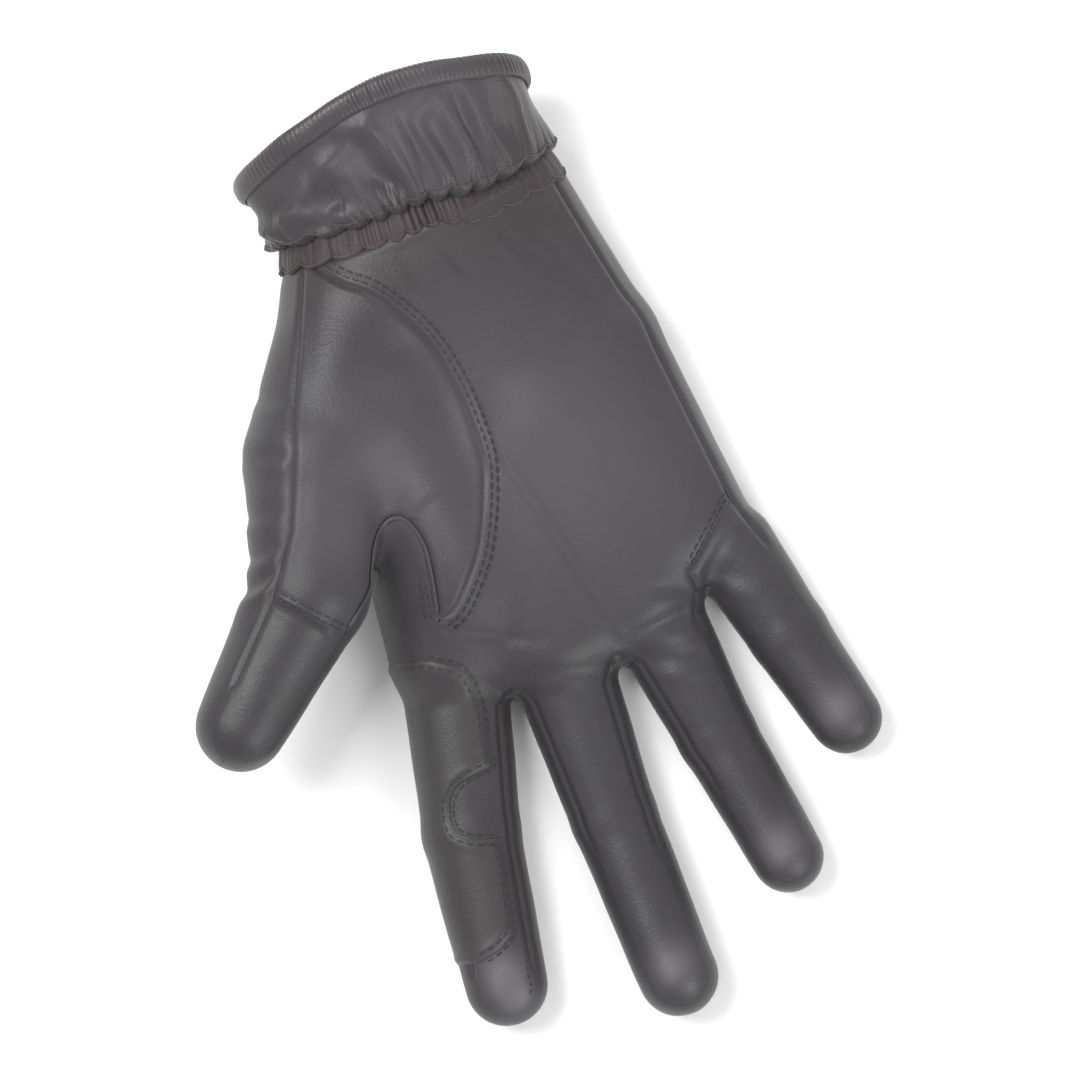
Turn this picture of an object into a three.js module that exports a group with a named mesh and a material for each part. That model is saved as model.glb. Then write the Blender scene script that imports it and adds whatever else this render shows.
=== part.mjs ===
// A leather riding glove for the right hand, lying on its back with the palm up and keeping the shape of
// the hand.
// It is sewn from panels: palm, back, three fourchettes between the fingers, little finger front, thumb
// front, tip,
// back and gusset, a patch on the index finger, a gathered wrist band, a puffed cuff and a rolled binding
// at its rim.
// Millimetres. +Z up, the fingers point to -Y, the thumb is on the -X side. The origin is under the
// middle, on the floor.
import * as THREE from "three";
import { mergeVertices } from "three/addons/utils/BufferGeometryUtils.js";

// The hide and its seams
const leather = 1.1; // thickness
const seamGap = 0.34; // room between two panels where they are sewn
const seamInset = 3; // how far the seams run inside the outline, on the palm side
const backInset = 3.6; // the same on the back

// The palm, between the gathered band and the knuckles
const palmLength = 104;
const palmBreadth = 94;
const palmDepth = 27; // at the knuckles
const heelDepth = 34; // at the heel of the hand
const palmFlatness = 0.9; // depth to breadth of the palm's and the fingers' rounds
const backSink = 2.2; // how far the rounds of the back are pressed flat where the glove lies
const floorSoftness = 1.2;

// The wrist, where palm and back meet the gathered band
const wristWidth = 64;
const wristDepth = 42;
const wristRise = 2.8; // how far the band's line climbs at the two sides
const wristSkew = 1.4; // how much more it climbs at the little finger's side

// The cuff
const bandHeight = 6.4;
const bandPleats = 24;
const bandPleatDepth = 0.8;
const cuffLength = 29.5; // from the band to the rim, at the middle of the palm side
const cuffWidth = 76;
const cuffDepth = 55;
const rimLead = 14; // how far the rim's palm side reaches past its back side
const rimArch = 2; // how far the rim's two sides stay behind
const rimSkew = 2.2; // how much further the little finger's side reaches
const cuffFoldDepth = 2.6;
const bindingHeight = 6;
const bindingRoll = 1.25; // thickness of the rolled binding on each side of the cuff
const bindingClearance = 0.34;

// The thumb
const thumbLength = 47; // from its ball to the tip
const thumbWidth = 25.6;
const thumbRise = 36; // height of its middle line over the floor
const thumbSplay = 46.8; // degrees from -Y towards -X
const webSoftness = 11; // how roundly the leather bridges the hollow between thumb and hand

// The index finger's patch
const patchLeather = 0.9;
const patchLift = 0.5; // room under it
const patchLength = 74;
const patchStart = 5; // how far it starts behind the finger's root
const patchUnder = 0.93; // how far round the finger's side it reaches on the back, as a share of the half width

// Fingers: whole length from the root's middle, width at the root, the root's place across the palm (share
// of the
// palm's breadth) and how far it is ahead of the knuckle line, the angle to -Y in degrees towards +X, the
// width at
// the middle joint and at the tip as shares of the root's, the bow to +X and the lift of the tip.
const fingers = {
  index: { length: 85, width: 25, across: -0.358, ahead: 0, splay: -10.8, waist: 0.91, tip: 0.79, bow: -2,
    lift: 3.4 },
  middle: { length: 91.5, width: 24.8, across: -0.1, ahead: 4, splay: 0.7, waist: 0.84, tip: 0.78,
    bow: -0.9, lift: 4 },
  ring: { length: 75.4, width: 23.6, across: 0.167, ahead: 2, splay: 8.9, waist: 0.81, tip: 0.74, bow: -0.7,
    lift: 3.4 },
  little: { length: 57.6, width: 21.6, across: 0.41, ahead: -6, splay: 14.2, waist: 0.89, tip: 0.81, bow: 0,
    lift: 2.6 },
};

// Rounds of the palm, from the wrist to a knuckle. Across is a share of the breadth, along a share of the
// length
// from the knuckles to the wrist, thick a share of the depth at that end.
const palmRounds = [
  { across: -0.2, along: 1.1, thick: 0.48, toAcross: -0.356, toAlong: 0.06, toThick: 0.54 },
  { across: -0.085, along: 1.1, thick: 0.53, toAcross: -0.096, toAlong: 0, toThick: 0.52 },
  { across: 0.053, along: 1.1, thick: 0.53, toAcross: 0.149, toAlong: 0.02, toThick: 0.5 },
  { across: 0.13, along: 1.1, thick: 0.47, toAcross: 0.268, toAlong: 0.6, toThick: 0.56 },
  { across: 0.268, along: 0.6, thick: 0.445, toAcross: 0.346, toAlong: 0.154, toThick: 0.49 },
];
// Rounds of the ball of the thumb: rise is a share of the thumb's, thick a share of its width.
const thumbRounds = [
  { across: -0.266, along: 0.88, rise: 0.6, thick: 0.7 },
  { across: -0.505, along: 0.577, rise: 0.83, thick: 0.66 },
  { across: -0.632, along: 0.297, rise: 0.95, thick: 0.56 },
];
// The web that runs from the ball of the thumb to the root of the index finger.
const webRounds = [
  { across: -0.33, along: 0.6, rise: 0.8, thick: 0.55 },
  { across: -0.285, along: 0.2, rise: 0.44, thick: 0.4 },
];
// The seam that sets the thumb into the palm, from the wrist round the ball of the thumb to its point near
// the index.
const gussetSeam = [
  { across: -0.345, along: 0.99 },
  { across: -0.29, along: 0.933 },
  { across: -0.235, along: 0.892 },
  { across: -0.18, along: 0.825 },
  { across: -0.134, along: 0.737 },
  { across: -0.11, along: 0.63 },
  { across: -0.104, along: 0.542 },
  { across: -0.107, along: 0.445 },
  { across: -0.138, along: 0.357 },
  { across: -0.194, along: 0.253 },
  { across: -0.244, along: 0.195 },
  { across: -0.305, along: 0.142 },
  { across: -0.352, along: 0.128 },
];
// The seam between the thumb's front and its back, from the wrist to the ball's end; from there it follows
// the thumb.
const thumbSideSeam = [
  { across: -0.372, along: 0.99 },
  { across: -0.428, along: 0.87 },
  { across: -0.5, along: 0.722 },
  { across: -0.565, along: 0.571 },
  { across: -0.624, along: 0.443 },
];
// The free edge of the web: right leg from the point near the index up to the crown, then the left leg to
// the thumb.
const archRight = [
  { across: -0.352, along: 0.128 },
  { across: -0.325, along: 0.235 },
  { across: -0.321, along: 0.307 },
  { across: -0.366, along: 0.389 },
];
const archLeft = [
  { across: -0.366, along: 0.389 },
  { across: -0.447, along: 0.352 },
  { across: -0.482, along: 0.302 },
  { across: -0.5, along: 0.252 },
];
// Where the side of the hand turns out to the thumb under the web, and how high over the floor.
const thumbGap = { across: -0.487, along: 0.263, height: 12 };
// The seam on the back between the thumb's back and the glove's back.
const dorsalSeam = [
  { across: -0.33, along: 1.0 },
  { across: -0.35, along: 0.8 },
  { across: -0.38, along: 0.6 },
  { across: -0.41, along: 0.35 },
  { across: -0.45, along: 0.115 },
];
// Folds of the cuff: degrees round it from the middle of the palm side, at the rim and at the band; height
// as a
// share of the fold depth; spread in degrees; where along the cuff it is highest, from the band 0 to the
// rim 1.
const cuffFolds = [
  { rim: 0, band: 14, height: 1.1, spread: 13, peak: 0.45 },
  { rim: -48, band: -22, height: 1.0, spread: 12, peak: 0.4 },
  { rim: -92, band: -62, height: 1.1, spread: 12, peak: 0.25 },
  { rim: 36, band: 40, height: 0.7, spread: 10, peak: 0.35 },
  { rim: 68, band: 78, height: 1.0, spread: 12, peak: 0.5 },
  { rim: 112, band: 108, height: 0.9, spread: 14, peak: 0.4 },
  { rim: 150, band: 146, height: 0.8, spread: 13, peak: 0.4 },
  { rim: 184, band: 186, height: 0.9, spread: 13, peak: 0.45 },
  { rim: 222, band: 224, height: 0.8, spread: 12, peak: 0.4 },
  { rim: 248, band: 258, height: 0.7, spread: 10, peak: 0.35 },
];
// The patch's free edge: share of its length from its upper end, and place across the finger, 1 at its +X
// side.
const patchEdge = [
  { along: 0.0, edge: -0.75 },
  { along: 0.03, edge: -0.1 },
  { along: 0.1, edge: 0.33 },
  { along: 0.2, edge: 0.42 },
  { along: 0.3, edge: 0.46 },
  { along: 0.375, edge: 0.5 },
  { along: 0.39, edge: 0.12 },
  { along: 0.42, edge: -0.24 },
  { along: 0.47, edge: -0.46 },
  { along: 0.53, edge: -0.48 },
  { along: 0.575, edge: -0.4 },
  { along: 0.595, edge: 0.0 },
  { along: 0.61, edge: 0.48 },
  { along: 0.72, edge: 0.45 },
  { along: 0.85, edge: 0.42 },
  { along: 0.93, edge: 0.36 },
  { along: 0.97, edge: -0.05 },
  { along: 1.0, edge: -0.6 },
];

// Mesh density
const palmRows = 16; // from the wrist to the crotches
const pointRow = 12; // the row that meets the gusset's point
const crownRow = 9; // the row that meets the web's crown
const legRows = 8; // along a finger, from the crotch to the tip's round
const tipRows = 4;
const wide = 4; // columns of a strip
const backWide = 3;
const sideCols = 3; // columns of the index finger's own side of the palm
const wallCols = 4;
const round = 60; // round the cuff

// small maths
const lerp = (a, b, t) => a + (b - a) * t;
const clamp = (v, lo, hi) => Math.min(hi, Math.max(lo, v));
const ease = (t) => { const c = clamp(t, 0, 1); return c * c * (3 - 2 * c); };
const rad = Math.PI / 180;
const vec = (x, y, z) => new THREE.Vector3(x, y, z);
const half = seamGap / 2;

// A place on the palm: share of the breadth from the middle, share of the length from the knuckles to the
// wrist.
const palmX = (across) => across * palmBreadth;
const palmY = (along) => along * palmLength;
const wristY = palmLength;
const wristMid = -0.045 * palmBreadth;

// A smooth curve through the rows of a table, at share t of its length.
function along(points, t) {
  const curve = new THREE.CatmullRomCurve3(points.map((p) => vec(p[0], p[1], 0)), false, "centripetal");
  const p = curve.getPointAt(clamp(t, 0, 1));
  return [p.x, p.y];
}
const places = (table) => table.map((row) => [palmX(row.across), palmY(row.along)]);
const upTo = (n) => [...Array(n + 1).keys()];
// Evenly spaced places on a smooth line, moved sideways, to the left of its way when shift is positive.
function sample(points, n, shift) {
  return upTo(n).map((k) => {
    const t = k / n;
    const p = along(points, t), a = along(points, Math.max(0, t - 0.01)), b = along(points,
      Math.min(1, t + 0.01));
    const l = Math.hypot(b[0] - a[0], b[1] - a[1]);
    return [p[0] - ((b[1] - a[1]) / l) * shift, p[1] + ((b[0] - a[0]) / l) * shift];
  });
}

// the hand's form
// A round that tapers from one ball to another; flat scales its depth.
function taper(a, ra, b, rb, flat) {
  const [ax, ay, az] = [a[0], a[1], a[2] / flat];
  const [bx, by, bz] = [b[0] - ax, b[1] - ay, b[2] / flat - az];
  const l2 = bx * bx + by * by + bz * bz;
  const rr = ra - rb;
  const a2 = l2 - rr * rr;
  return (x, y, z) => {
    const px = x - ax, py = y - ay, pz = z / flat - az;
    const s = px * bx + py * by + pz * bz;
    const e = s - l2;
    const qx = px * l2 - bx * s, qy = py * l2 - by * s, qz = pz * l2 - bz * s;
    const x2 = qx * qx + qy * qy + qz * qz;
    const k = Math.sign(rr) * rr * rr * x2;
    if (Math.sign(e) * a2 * e * e * l2 > k) return Math.sqrt(x2 + e * e * l2) / l2 - rb;
    if (Math.sign(s) * a2 * s * s * l2 < k) return Math.sqrt(x2 + s * s * l2) / l2 - ra;
    return (Math.sqrt((x2 * a2) / l2) + s * rr) / l2 - ra;
  };
}
const join = (a, b, k) => { const h = Math.max(k - Math.abs(a - b), 0) / k; return Math.min(a,
  b) - (h * h * k) / 4; };
const cut = (a, b, k) => -join(-a, -b, k);

const resting = (r, lift = 0) => r * palmFlatness - backSink + lift;
const palmTapers = palmRounds.map((row) => {
  const ra = row.thick * heelDepth;
  const rb = row.toThick * palmDepth;
  return taper([palmX(row.across), palmY(row.along), resting(ra, row.along > 1 ? 3 : 1)], ra,
    [palmX(row.toAcross), palmY(row.toAlong), resting(rb)], rb, palmFlatness);
});
const core = taper([wristMid, palmY(1.16), wristDepth * 0.49], wristDepth * 0.49,
  [wristMid, palmY(0.66), heelDepth * 0.5], heelDepth * 0.44, 1);

const fingerList = Object.entries(fingers).map(([name, f]) => {
  const r0 = f.width / 2, r1 = r0 * f.waist, r2 = r0 * f.tip;
  const d = [Math.sin(f.splay * rad), -Math.cos(f.splay * rad)];
  const n = [-d[1], d[0]]; // towards +X
  const root = [palmX(f.across), -f.ahead];
  const reach = f.length - r2;
  const mid = 0.5;
  const nodes = [
    [root[0], root[1], resting(r0)],
    [root[0] + d[0] * reach * mid + n[0] * f.bow, root[1] + d[1] * reach * mid + n[1] * f.bow,
      resting(r1, 1)],
    [root[0] + d[0] * reach, root[1] + d[1] * reach, resting(r2, f.lift)],
  ];
  const radii = [r0, r1, r2];
  const one = taper(nodes[0], r0, nodes[1], r1, palmFlatness);
  const two = taper(nodes[1], r1, nodes[2], r2, palmFlatness);
  const at = (t) => {
    const i = t < mid ? 0 : 1;
    const w = i === 0 ? t / mid : (t - mid) / (1 - mid);
    return { p: nodes[i].map((v, a) => lerp(v, nodes[i + 1][a], w)),
      r: lerp(radii[i], radii[i + 1], clamp(w, 0, 1)) };
  };
  return { name, d, n, root, reach, nodes, radii, at,
    field: (x, y, z) => join(one(x, y, z), two(x, y, z), 1.2) };
});

const thumbNodes = thumbRounds.map((row) => ({ p: [palmX(row.across), palmY(row.along),
  row.rise * thumbRise], r: row.thick * thumbWidth }));
const thumbDir = [-Math.sin(thumbSplay * rad), -Math.cos(thumbSplay * rad)];
const thumbTipR = 0.425 * thumbWidth;
const ball = thumbNodes[thumbNodes.length - 1];
thumbNodes.push({
  p: [ball.p[0] + thumbDir[0] * (thumbLength - thumbTipR),
    ball.p[1] + thumbDir[1] * (thumbLength - thumbTipR), thumbRise * 1.02],
  r: thumbTipR,
});
const thumbTapers = thumbNodes.slice(1).map((node, i) => taper(thumbNodes[i].p, thumbNodes[i].r, node.p,
  node.r, 1));
const webNodes = webRounds.map((row) => ({ p: [palmX(row.across), palmY(row.along), row.rise * thumbRise],
  r: row.thick * thumbWidth }));
const web = taper(webNodes[0].p, webNodes[0].r, webNodes[1].p, webNodes[1].r, 1);

// The form: negative inside, zero on the outside of the leather.
function form(x, y, z) {
  let palm = join(palmTapers[3](x, y, z), palmTapers[4](x, y, z), 2);
  for (let i = 0; i < 3; i++) palm = join(palm, palmTapers[i](x, y, z), 14);
  palm = join(palm, core(x, y, z), 14);
  for (const f of fingerList) palm = join(palm, f.field(x, y, z), 3.5);
  let thumb = thumbTapers[0](x, y, z);
  for (let i = 1; i < thumbTapers.length; i++) thumb = join(thumb, thumbTapers[i](x, y, z), 2);
  thumb = join(thumb, web(x, y, z), 7);
  return cut(join(palm, thumb, webSoftness), -z, floorSoftness);
}
function slope(p) {
  const e = 0.04;
  const g = vec(
    form(p.x + e, p.y, p.z) - form(p.x - e, p.y, p.z),
    form(p.x, p.y + e, p.z) - form(p.x, p.y - e, p.z),
    form(p.x, p.y, p.z + e) - form(p.x, p.y, p.z - e));
  return g.divideScalar(2 * e);
}
// From a place near the surface, straight to it.
function settle(p) {
  const q = p.clone();
  for (let i = 0; i < 24; i++) {
    const f = form(q.x, q.y, q.z);
    if (Math.abs(f) < 1e-5) break;
    const g = slope(q);
    q.addScaledVector(g, (-f * 0.9) / Math.max(g.lengthSq(), 0.2));
  }
  return q;
}
// The first crossing of the surface along a line; from outside going in, or from inside going out.
function meet(from, dir, reach) {
  const inside = form(from.x, from.y, from.z) < 0;
  const step = 0.8;
  const p = from.clone();
  for (let t = step; t <= reach; t += step) {
    p.copy(from).addScaledVector(dir, t);
    if ((form(p.x, p.y, p.z) < 0) !== inside) {
      let lo = t - step, hi = t;
      for (let i = 0; i < 16; i++) {
        const m = (lo + hi) / 2;
        p.copy(from).addScaledVector(dir, m);
        if ((form(p.x, p.y, p.z) < 0) === inside) lo = m; else hi = m;
      }
      return p.copy(from).addScaledVector(dir, (lo + hi) / 2);
    }
  }
  return null;
}
const down = vec(0, 0, -1);
const up = vec(0, 0, 1);
const onTop = ([x, y]) => meet(vec(x, y, 90), down, 92) ?? settle(vec(x, y, palmDepth / 2));
const onBottom = ([x, y]) => meet(vec(x, y, -0.5), up, 90) ?? settle(vec(x, y, palmDepth / 2));
// Half the form's width from a middle line, straight sideways.
const halfWidth = (p, dir2) => meet(vec(p[0], p[1], p[2]), vec(dir2[0], dir2[1], 0),
  60)?.distanceTo(vec(p[0], p[1], p[2])) ?? 60;

// skins: sheets of triangles on the form
class Skin {
  constructor() { this.points = []; this.index = []; }
  // A grid of points, rows of equal length.
  grid(rows) {
    const base = this.points.length;
    const wide = rows[0].length;
    const start = this.index.length;
    for (const row of rows) for (const p of row) this.points.push(p);
    for (let i = 0; i + 1 < rows.length; i++) {
      for (let j = 0; j + 1 < wide; j++) {
        const a = base + i * wide + j, b = a + 1, c = a + wide, d = c + 1;
        const q = this.points;
        if (q[a].distanceTo(q[d]) <= q[b].distanceTo(q[c])) this.index.push(a, b, d, a, d, c);
        else this.index.push(a, b, c, b, d, c);
      }
    }
    // its faces look out of the form
    let facing = 0;
    const q = this.points, t = this.index;
    for (let i = start; i < t.length; i += 3) facing += q[t[i + 1]].clone().sub(q[t[i]]).cross(q[t[i + 2]].clone().sub(q[t[i]])).dot(slope(q[t[i]]));
    if (facing < 0) for (let i = start; i < t.length; i += 3) [t[i + 1], t[i + 2]] = [t[i + 2], t[i + 1]];
    return this;
  }
  // The sheet as a closed solid: outer and inner face, and a rim along every free edge.
  solid(outer, inner) {
    const flat = new THREE.BufferGeometry();
    flat.setAttribute("position", new THREE.Float32BufferAttribute(this.points.flatMap((p) => [p.x, p.y,
      p.z]), 3));
    flat.setIndex(this.index);
    const welded = mergeVertices(flat, 2e-3);
    const pos = welded.getAttribute("position");
    const points = [...Array(pos.count).keys()].map((i) => vec(pos.getX(i), pos.getY(i), pos.getZ(i)));
    const tris = [];
    const idx = welded.getIndex().array;
    for (let i = 0; i < idx.length; i += 3) {
      const [a, b, c] = [idx[i], idx[i + 1], idx[i + 2]];
      if (a === b || b === c || c === a) continue;
      const area = points[b].clone().sub(points[a]).cross(points[c].clone().sub(points[a])).length();
      if (area > 1e-4) tris.push([a, b, c]);
    }
    const normals = points.map((p) => slope(p).normalize());
    const edges = new Map();
    for (const t of tris) for (let i = 0; i < 3; i++) edges.set(`${t[i]},${t[(i + 1) % 3]}`,
      [t[i], t[(i + 1) % 3]]);
    const out = [], faces = [];
    for (let i = 0; i < points.length; i++) out.push(points[i].clone().addScaledVector(normals[i], outer));
    for (let i = 0; i < points.length; i++) out.push(points[i].clone().addScaledVector(normals[i], inner));
    const n = points.length;
    for (const [a, b, c] of tris) faces.push(a, b, c, a + n, c + n, b + n);
    for (const [key, [a, b]] of edges) if (!edges.has(`${b},${a}`)) faces.push(b, a, a + n, b, a + n, b + n);
    const solid = new THREE.BufferGeometry();
    solid.setAttribute("position", new THREE.Float32BufferAttribute(out.flatMap((p) => [p.x, p.y, p.z]), 3));
    solid.setIndex(faces);
    return mergeVertices(solid, 1e-4);
  }
}
// Points between two ends, closer together at both ends, laid on the form.
const spaced = (cols) => [...Array(cols + 1).keys()].map((j) => lerp(j / cols,
  0.5 - 0.5 * Math.cos((Math.PI * j) / cols), 0.75));
const row = (a, b, cols, place) => spaced(cols).map((w) => place([lerp(a[0], b[0], w), lerp(a[1], b[1], w)]));
// The first row of a panel ends along the band's line.
const flush = (rows) => { for (const p of rows[0]) p.y = bandLine(p.x) - half; return rows; };
// Points round the side from one surface point to another, bulging outwards, over a share of the way.
function roundSide(from, to, outward, cols, first = 0, last = 1) {
  const bulge = seamInset;
  return [...Array(cols + 1).keys()].map((j) => {
    const v = lerp(first, last, j / cols);
    if (v === 0) return from.clone();
    if (v === 1) return to.clone();
    const s = Math.sin(Math.PI * v);
    return settle(vec(lerp(from.x, to.x, v) + outward[0] * bulge * s,
      lerp(from.y, to.y, v) + outward[1] * bulge * s, lerp(from.z, to.z, v)));
  });
}
// Points round a middle point, from one surface point to another by way of a direction.
function fan(middle, from, to, via, cols) {
  const a = from.clone().sub(middle).normalize();
  const c = to.clone().sub(middle).normalize();
  const b = via.clone().normalize();
  const ab = a.angleTo(b), bc = b.angleTo(c);
  const turn = (p, q, t) => {
    const w = p.angleTo(q);
    if (w < 1e-4) return p.clone();
    return p.clone().multiplyScalar(Math.sin((1 - t) * w) / Math.sin(w)).addScaledVector(q,
      Math.sin(t * w) / Math.sin(w));
  };
  return [...Array(cols + 1).keys()].map((j) => {
    if (j === 0) return from.clone();
    if (j === cols) return to.clone();
    const s = (j / cols) * (ab + bc);
    const dir = s < ab ? turn(a, b, s / ab) : turn(b, c, (s - ab) / bc);
    return meet(middle, dir.normalize(), 70) ?? settle(middle.clone().addScaledVector(dir, 15));
  });
}

// seams
// Crotches between neighbouring fingers: where the outline turns, and the way the gap points.
const crotches = [0, 1, 2].map((i) => {
  const a = fingerList[i], b = fingerList[i + 1];
  const d = [(a.d[0] + b.d[0]) / 2, (a.d[1] + b.d[1]) / 2];
  const l = Math.hypot(...d);
  const dir = [d[0] / l, d[1] / l];
  const mid = [(a.nodes[0][0] + b.nodes[0][0]) / 2, (a.nodes[0][1] + b.nodes[0][1]) / 2,
    (a.nodes[0][2] + b.nodes[0][2]) / 2];
  // the outline's turn is found by looking along the gap from well inside the palm
  const from = vec(mid[0] - dir[0] * 12, mid[1] - dir[1] * 12, mid[2] + 1);
  const hit = meet(from, vec(dir[0], dir[1], 0), 60) ?? from;
  return { at: [hit.x, hit.y], dir };
});
const apex = (i, inset) => [crotches[i].at[0] - crotches[i].dir[0] * inset,
  crotches[i].at[1] - crotches[i].dir[1] * inset];

// A finger's seam on one side (-1 or 1): row 0 at the crotch, legRows along it, then tipRows round the tip.
const shareAlong = (f, p) => ((p[0] - f.root[0]) * f.d[0] + (p[1] - f.root[1]) * f.d[1]) / f.reach;
function fingerSeam(i, side, inset, count = legRows) {
  const f = fingerList[i];
  const c = side < 0 ? i - 1 : i;
  const own = c >= 0 && c < 3;
  const start = shareAlong(f, apex(own ? c : clamp(c, 0, 2), inset));
  const out = [];
  const sideways = [f.n[0] * side, f.n[1] * side];
  for (let k = 0; k <= count; k++) {
    const g = k / count;
    const t = lerp(start, 1, g * (0.7 + 0.3 * g));
    const { p, r } = f.at(t);
    const w = Math.min(halfWidth(p, sideways), r * 1.12) - inset;
    out.push(k === 0 && own ? apex(c, inset) : [p[0] + sideways[0] * w, p[1] + sideways[1] * w]);
  }
  const tip = f.nodes[2], r = f.radii[2] - inset * 0.9;
  for (let k = 1; k <= tipRows; k++) {
    const a = (Math.PI / 2) * (k / tipRows);
    out.push([tip[0] + sideways[0] * r * Math.cos(a) + f.d[0] * r * Math.sin(a),
      tip[1] + sideways[1] * r * Math.cos(a) + f.d[1] * r * Math.sin(a)]);
  }
  return out;
}
// The way out of the finger at each of those rows.
function fingerOut(i, side, count = legRows) {
  const f = fingerList[i];
  const c = side < 0 ? i - 1 : i;
  const own = c >= 0 && c < 3;
  const out = [];
  for (let k = 0; k <= count; k++) out.push(k === 0 && own ? crotches[c].dir : [f.n[0] * side,
    f.n[1] * side]);
  for (let k = 1; k <= tipRows; k++) {
    const a = (Math.PI / 2) * (k / tipRows);
    out.push([f.n[0] * side * Math.cos(a) + f.d[0] * Math.sin(a),
      f.n[1] * side * Math.cos(a) + f.d[1] * Math.sin(a)]);
  }
  return out;
}

// Lines from the wrist to the knuckles. Row 0 is at the gathered band.
const bandLine = (x) => { const w = (x - wristMid) / (wristWidth / 2); return wristY - 0.8 + wristRise * w * w + wristSkew * w; };
const atWrist = (x, off) => [x, bandLine(x) + off];
const rowShare = (k) => (k <= pointRow ? (0.83 * k) / pointRow : lerp(0.83, 1,
  (k - pointRow) / (palmRows - pointRow)));
const wristPlaces = [-0.02, 0.11, 0.205]; // where they start, and how far they bow to clear the gusset
const lineBow = [0.085, 0.035, 0.01];
function palmLine(i, inset, off) { // between finger i and i + 1
  const a = atWrist(palmX(wristPlaces[i]), off), b = apex(i, inset);
  return upTo(palmRows).map((k) => {
    const t = rowShare(k);
    return [lerp(a[0], b[0], t) + palmX(lineBow[i]) * 4 * t * (1 - t), lerp(a[1], b[1], t)];
  });
}
// The little finger's side of the palm, just inside the outline; its rows climb towards the finger's own
// seam.
function ulnarLine(inset, off) {
  const end = fingerSeam(3, 1, inset)[0];
  const seamRow = palmRows - 1;
  const last = palmY(0.163);
  return [...Array(palmRows + 1).keys()].map((k) => {
    if (k === palmRows) return end;
    const y = lerp(wristY + wristRise, last, k / seamRow);
    const z = resting(palmDepth * 0.5, 2 + (5 * (seamRow - k)) / seamRow);
    const x = palmX(0.15) + halfWidth([palmX(0.15), y, z], [1, 0]) - inset;
    return k === 0 ? atWrist(x, off) : [x, y];
  });
}
const gussetPlaces = places(gussetSeam);
const gussetLine = (shift) => sample(gussetPlaces, pointRow, shift);
const point = gussetPlaces[gussetPlaces.length - 1];
// Where the palm, the index finger's side and the gusset meet, on the palm's side and on the back.
function indexSide(k, inset) { // rows pointRow to palmRows
  const f = fingerList[0];
  const end = fingerSeam(0, -1, inset)[0];
  const t = (k - pointRow) / (palmRows - pointRow);
  if (t >= 1) return end;
  const y = lerp(point[1] - half, end[1], t);
  const z = resting(palmDepth * 0.5, 1);
  const start = palmX(-0.33);
  return [start - halfWidth([start, y, z], [-1, 0]) + inset, y];
}

// Panels
const parts = [];
const leatherLook = (color, roughness) => new THREE.MeshStandardMaterial({ color, roughness, metalness: 0 });
function add(name, geometry, color = "#4c4a4d", roughness = 0.55) {
  const mesh = new THREE.Mesh(geometry, leatherLook(color, roughness));
  mesh.name = name;
  parts.push(mesh);
}


// The palm: four strips from the band to the knuckles, three of them run on over the fingers.
const fingerRows = (i, inset) => [fingerSeam(i, -1, inset), fingerSeam(i, 1, inset)];
const mixXY = (a, b, w) => [lerp(a[0], b[0], w), lerp(a[1], b[1], w)];
const seamRow = palmRows - 1; // the row of the little finger's seam
{
  const inset = seamInset + half;
  const gusset = gussetLine(half);
  gusset[0] = atWrist(gusset[0][0] + half, -half);
  const lines = [0, 1, 2].map((i) => palmLine(i, inset, -half));
  const ulnar = ulnarLine(inset, -half);
  const share = sideCols / (sideCols + wide);
  const left = upTo(palmRows).map((k) => (k <= pointRow ? gusset[k] : mixXY(indexSide(k, inset),
    lines[0][k], share)));
  const bounds = [left, ...lines, ulnar];
  const skin = new Skin();
  for (let s = 0; s < 4; s++) {
    skin.grid(flush(upTo(s === 3 ? seamRow : palmRows).map((k) => {
      const lift = s === 3 && k === seamRow ? half : 0;
      return row([bounds[s][k][0], bounds[s][k][1] + lift],
        [bounds[s + 1][k][0], bounds[s + 1][k][1] + lift], wide, onTop);
    })));
  }
  skin.grid(upTo(palmRows - pointRow).map((k) => row(indexSide(pointRow + k, inset), left[pointRow + k],
    sideCols, onTop)));
  for (let i = 0; i < 3; i++) {
    const [a, b] = fingerRows(i, inset);
    if (i > 0) skin.grid(a.map((p, k) => row(p, b[k], wide, onTop)));
    else {
      const m = a.map((p, k) => mixXY(p, b[k], share));
      skin.grid(a.map((p, k) => row(p, m[k], sideCols, onTop)));
      skin.grid(m.map((p, k) => row(p, b[k], wide, onTop)));
    }
  }
  add("palm", skin.solid(0, -leather));

  // the little finger's front starts at a seam of its own
  const little = new Skin();
  little.grid([seamRow, palmRows].map((k) => {
    const drop = k === seamRow ? half : 0;
    return row([lines[2][k][0] + seamGap, lines[2][k][1] - drop], [ulnar[k][0], ulnar[k][1] - drop], wide,
      onTop);
  }));
  const [a, b] = fingerRows(3, inset);
  a[0] = [a[0][0] + seamGap, a[0][1]];
  little.grid(a.map((p, k) => row(p, b[k], wide, onTop)));
  add("little_finger_front", little.solid(0, -leather));
}

// How much of the finger's side is the fourchette's, from the last straight row to the end of the tip; the
// back's
// leather comes up over the tip for the rest.
const tipShare = [1, 0.82, 0.58, 0.3, 0];

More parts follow.
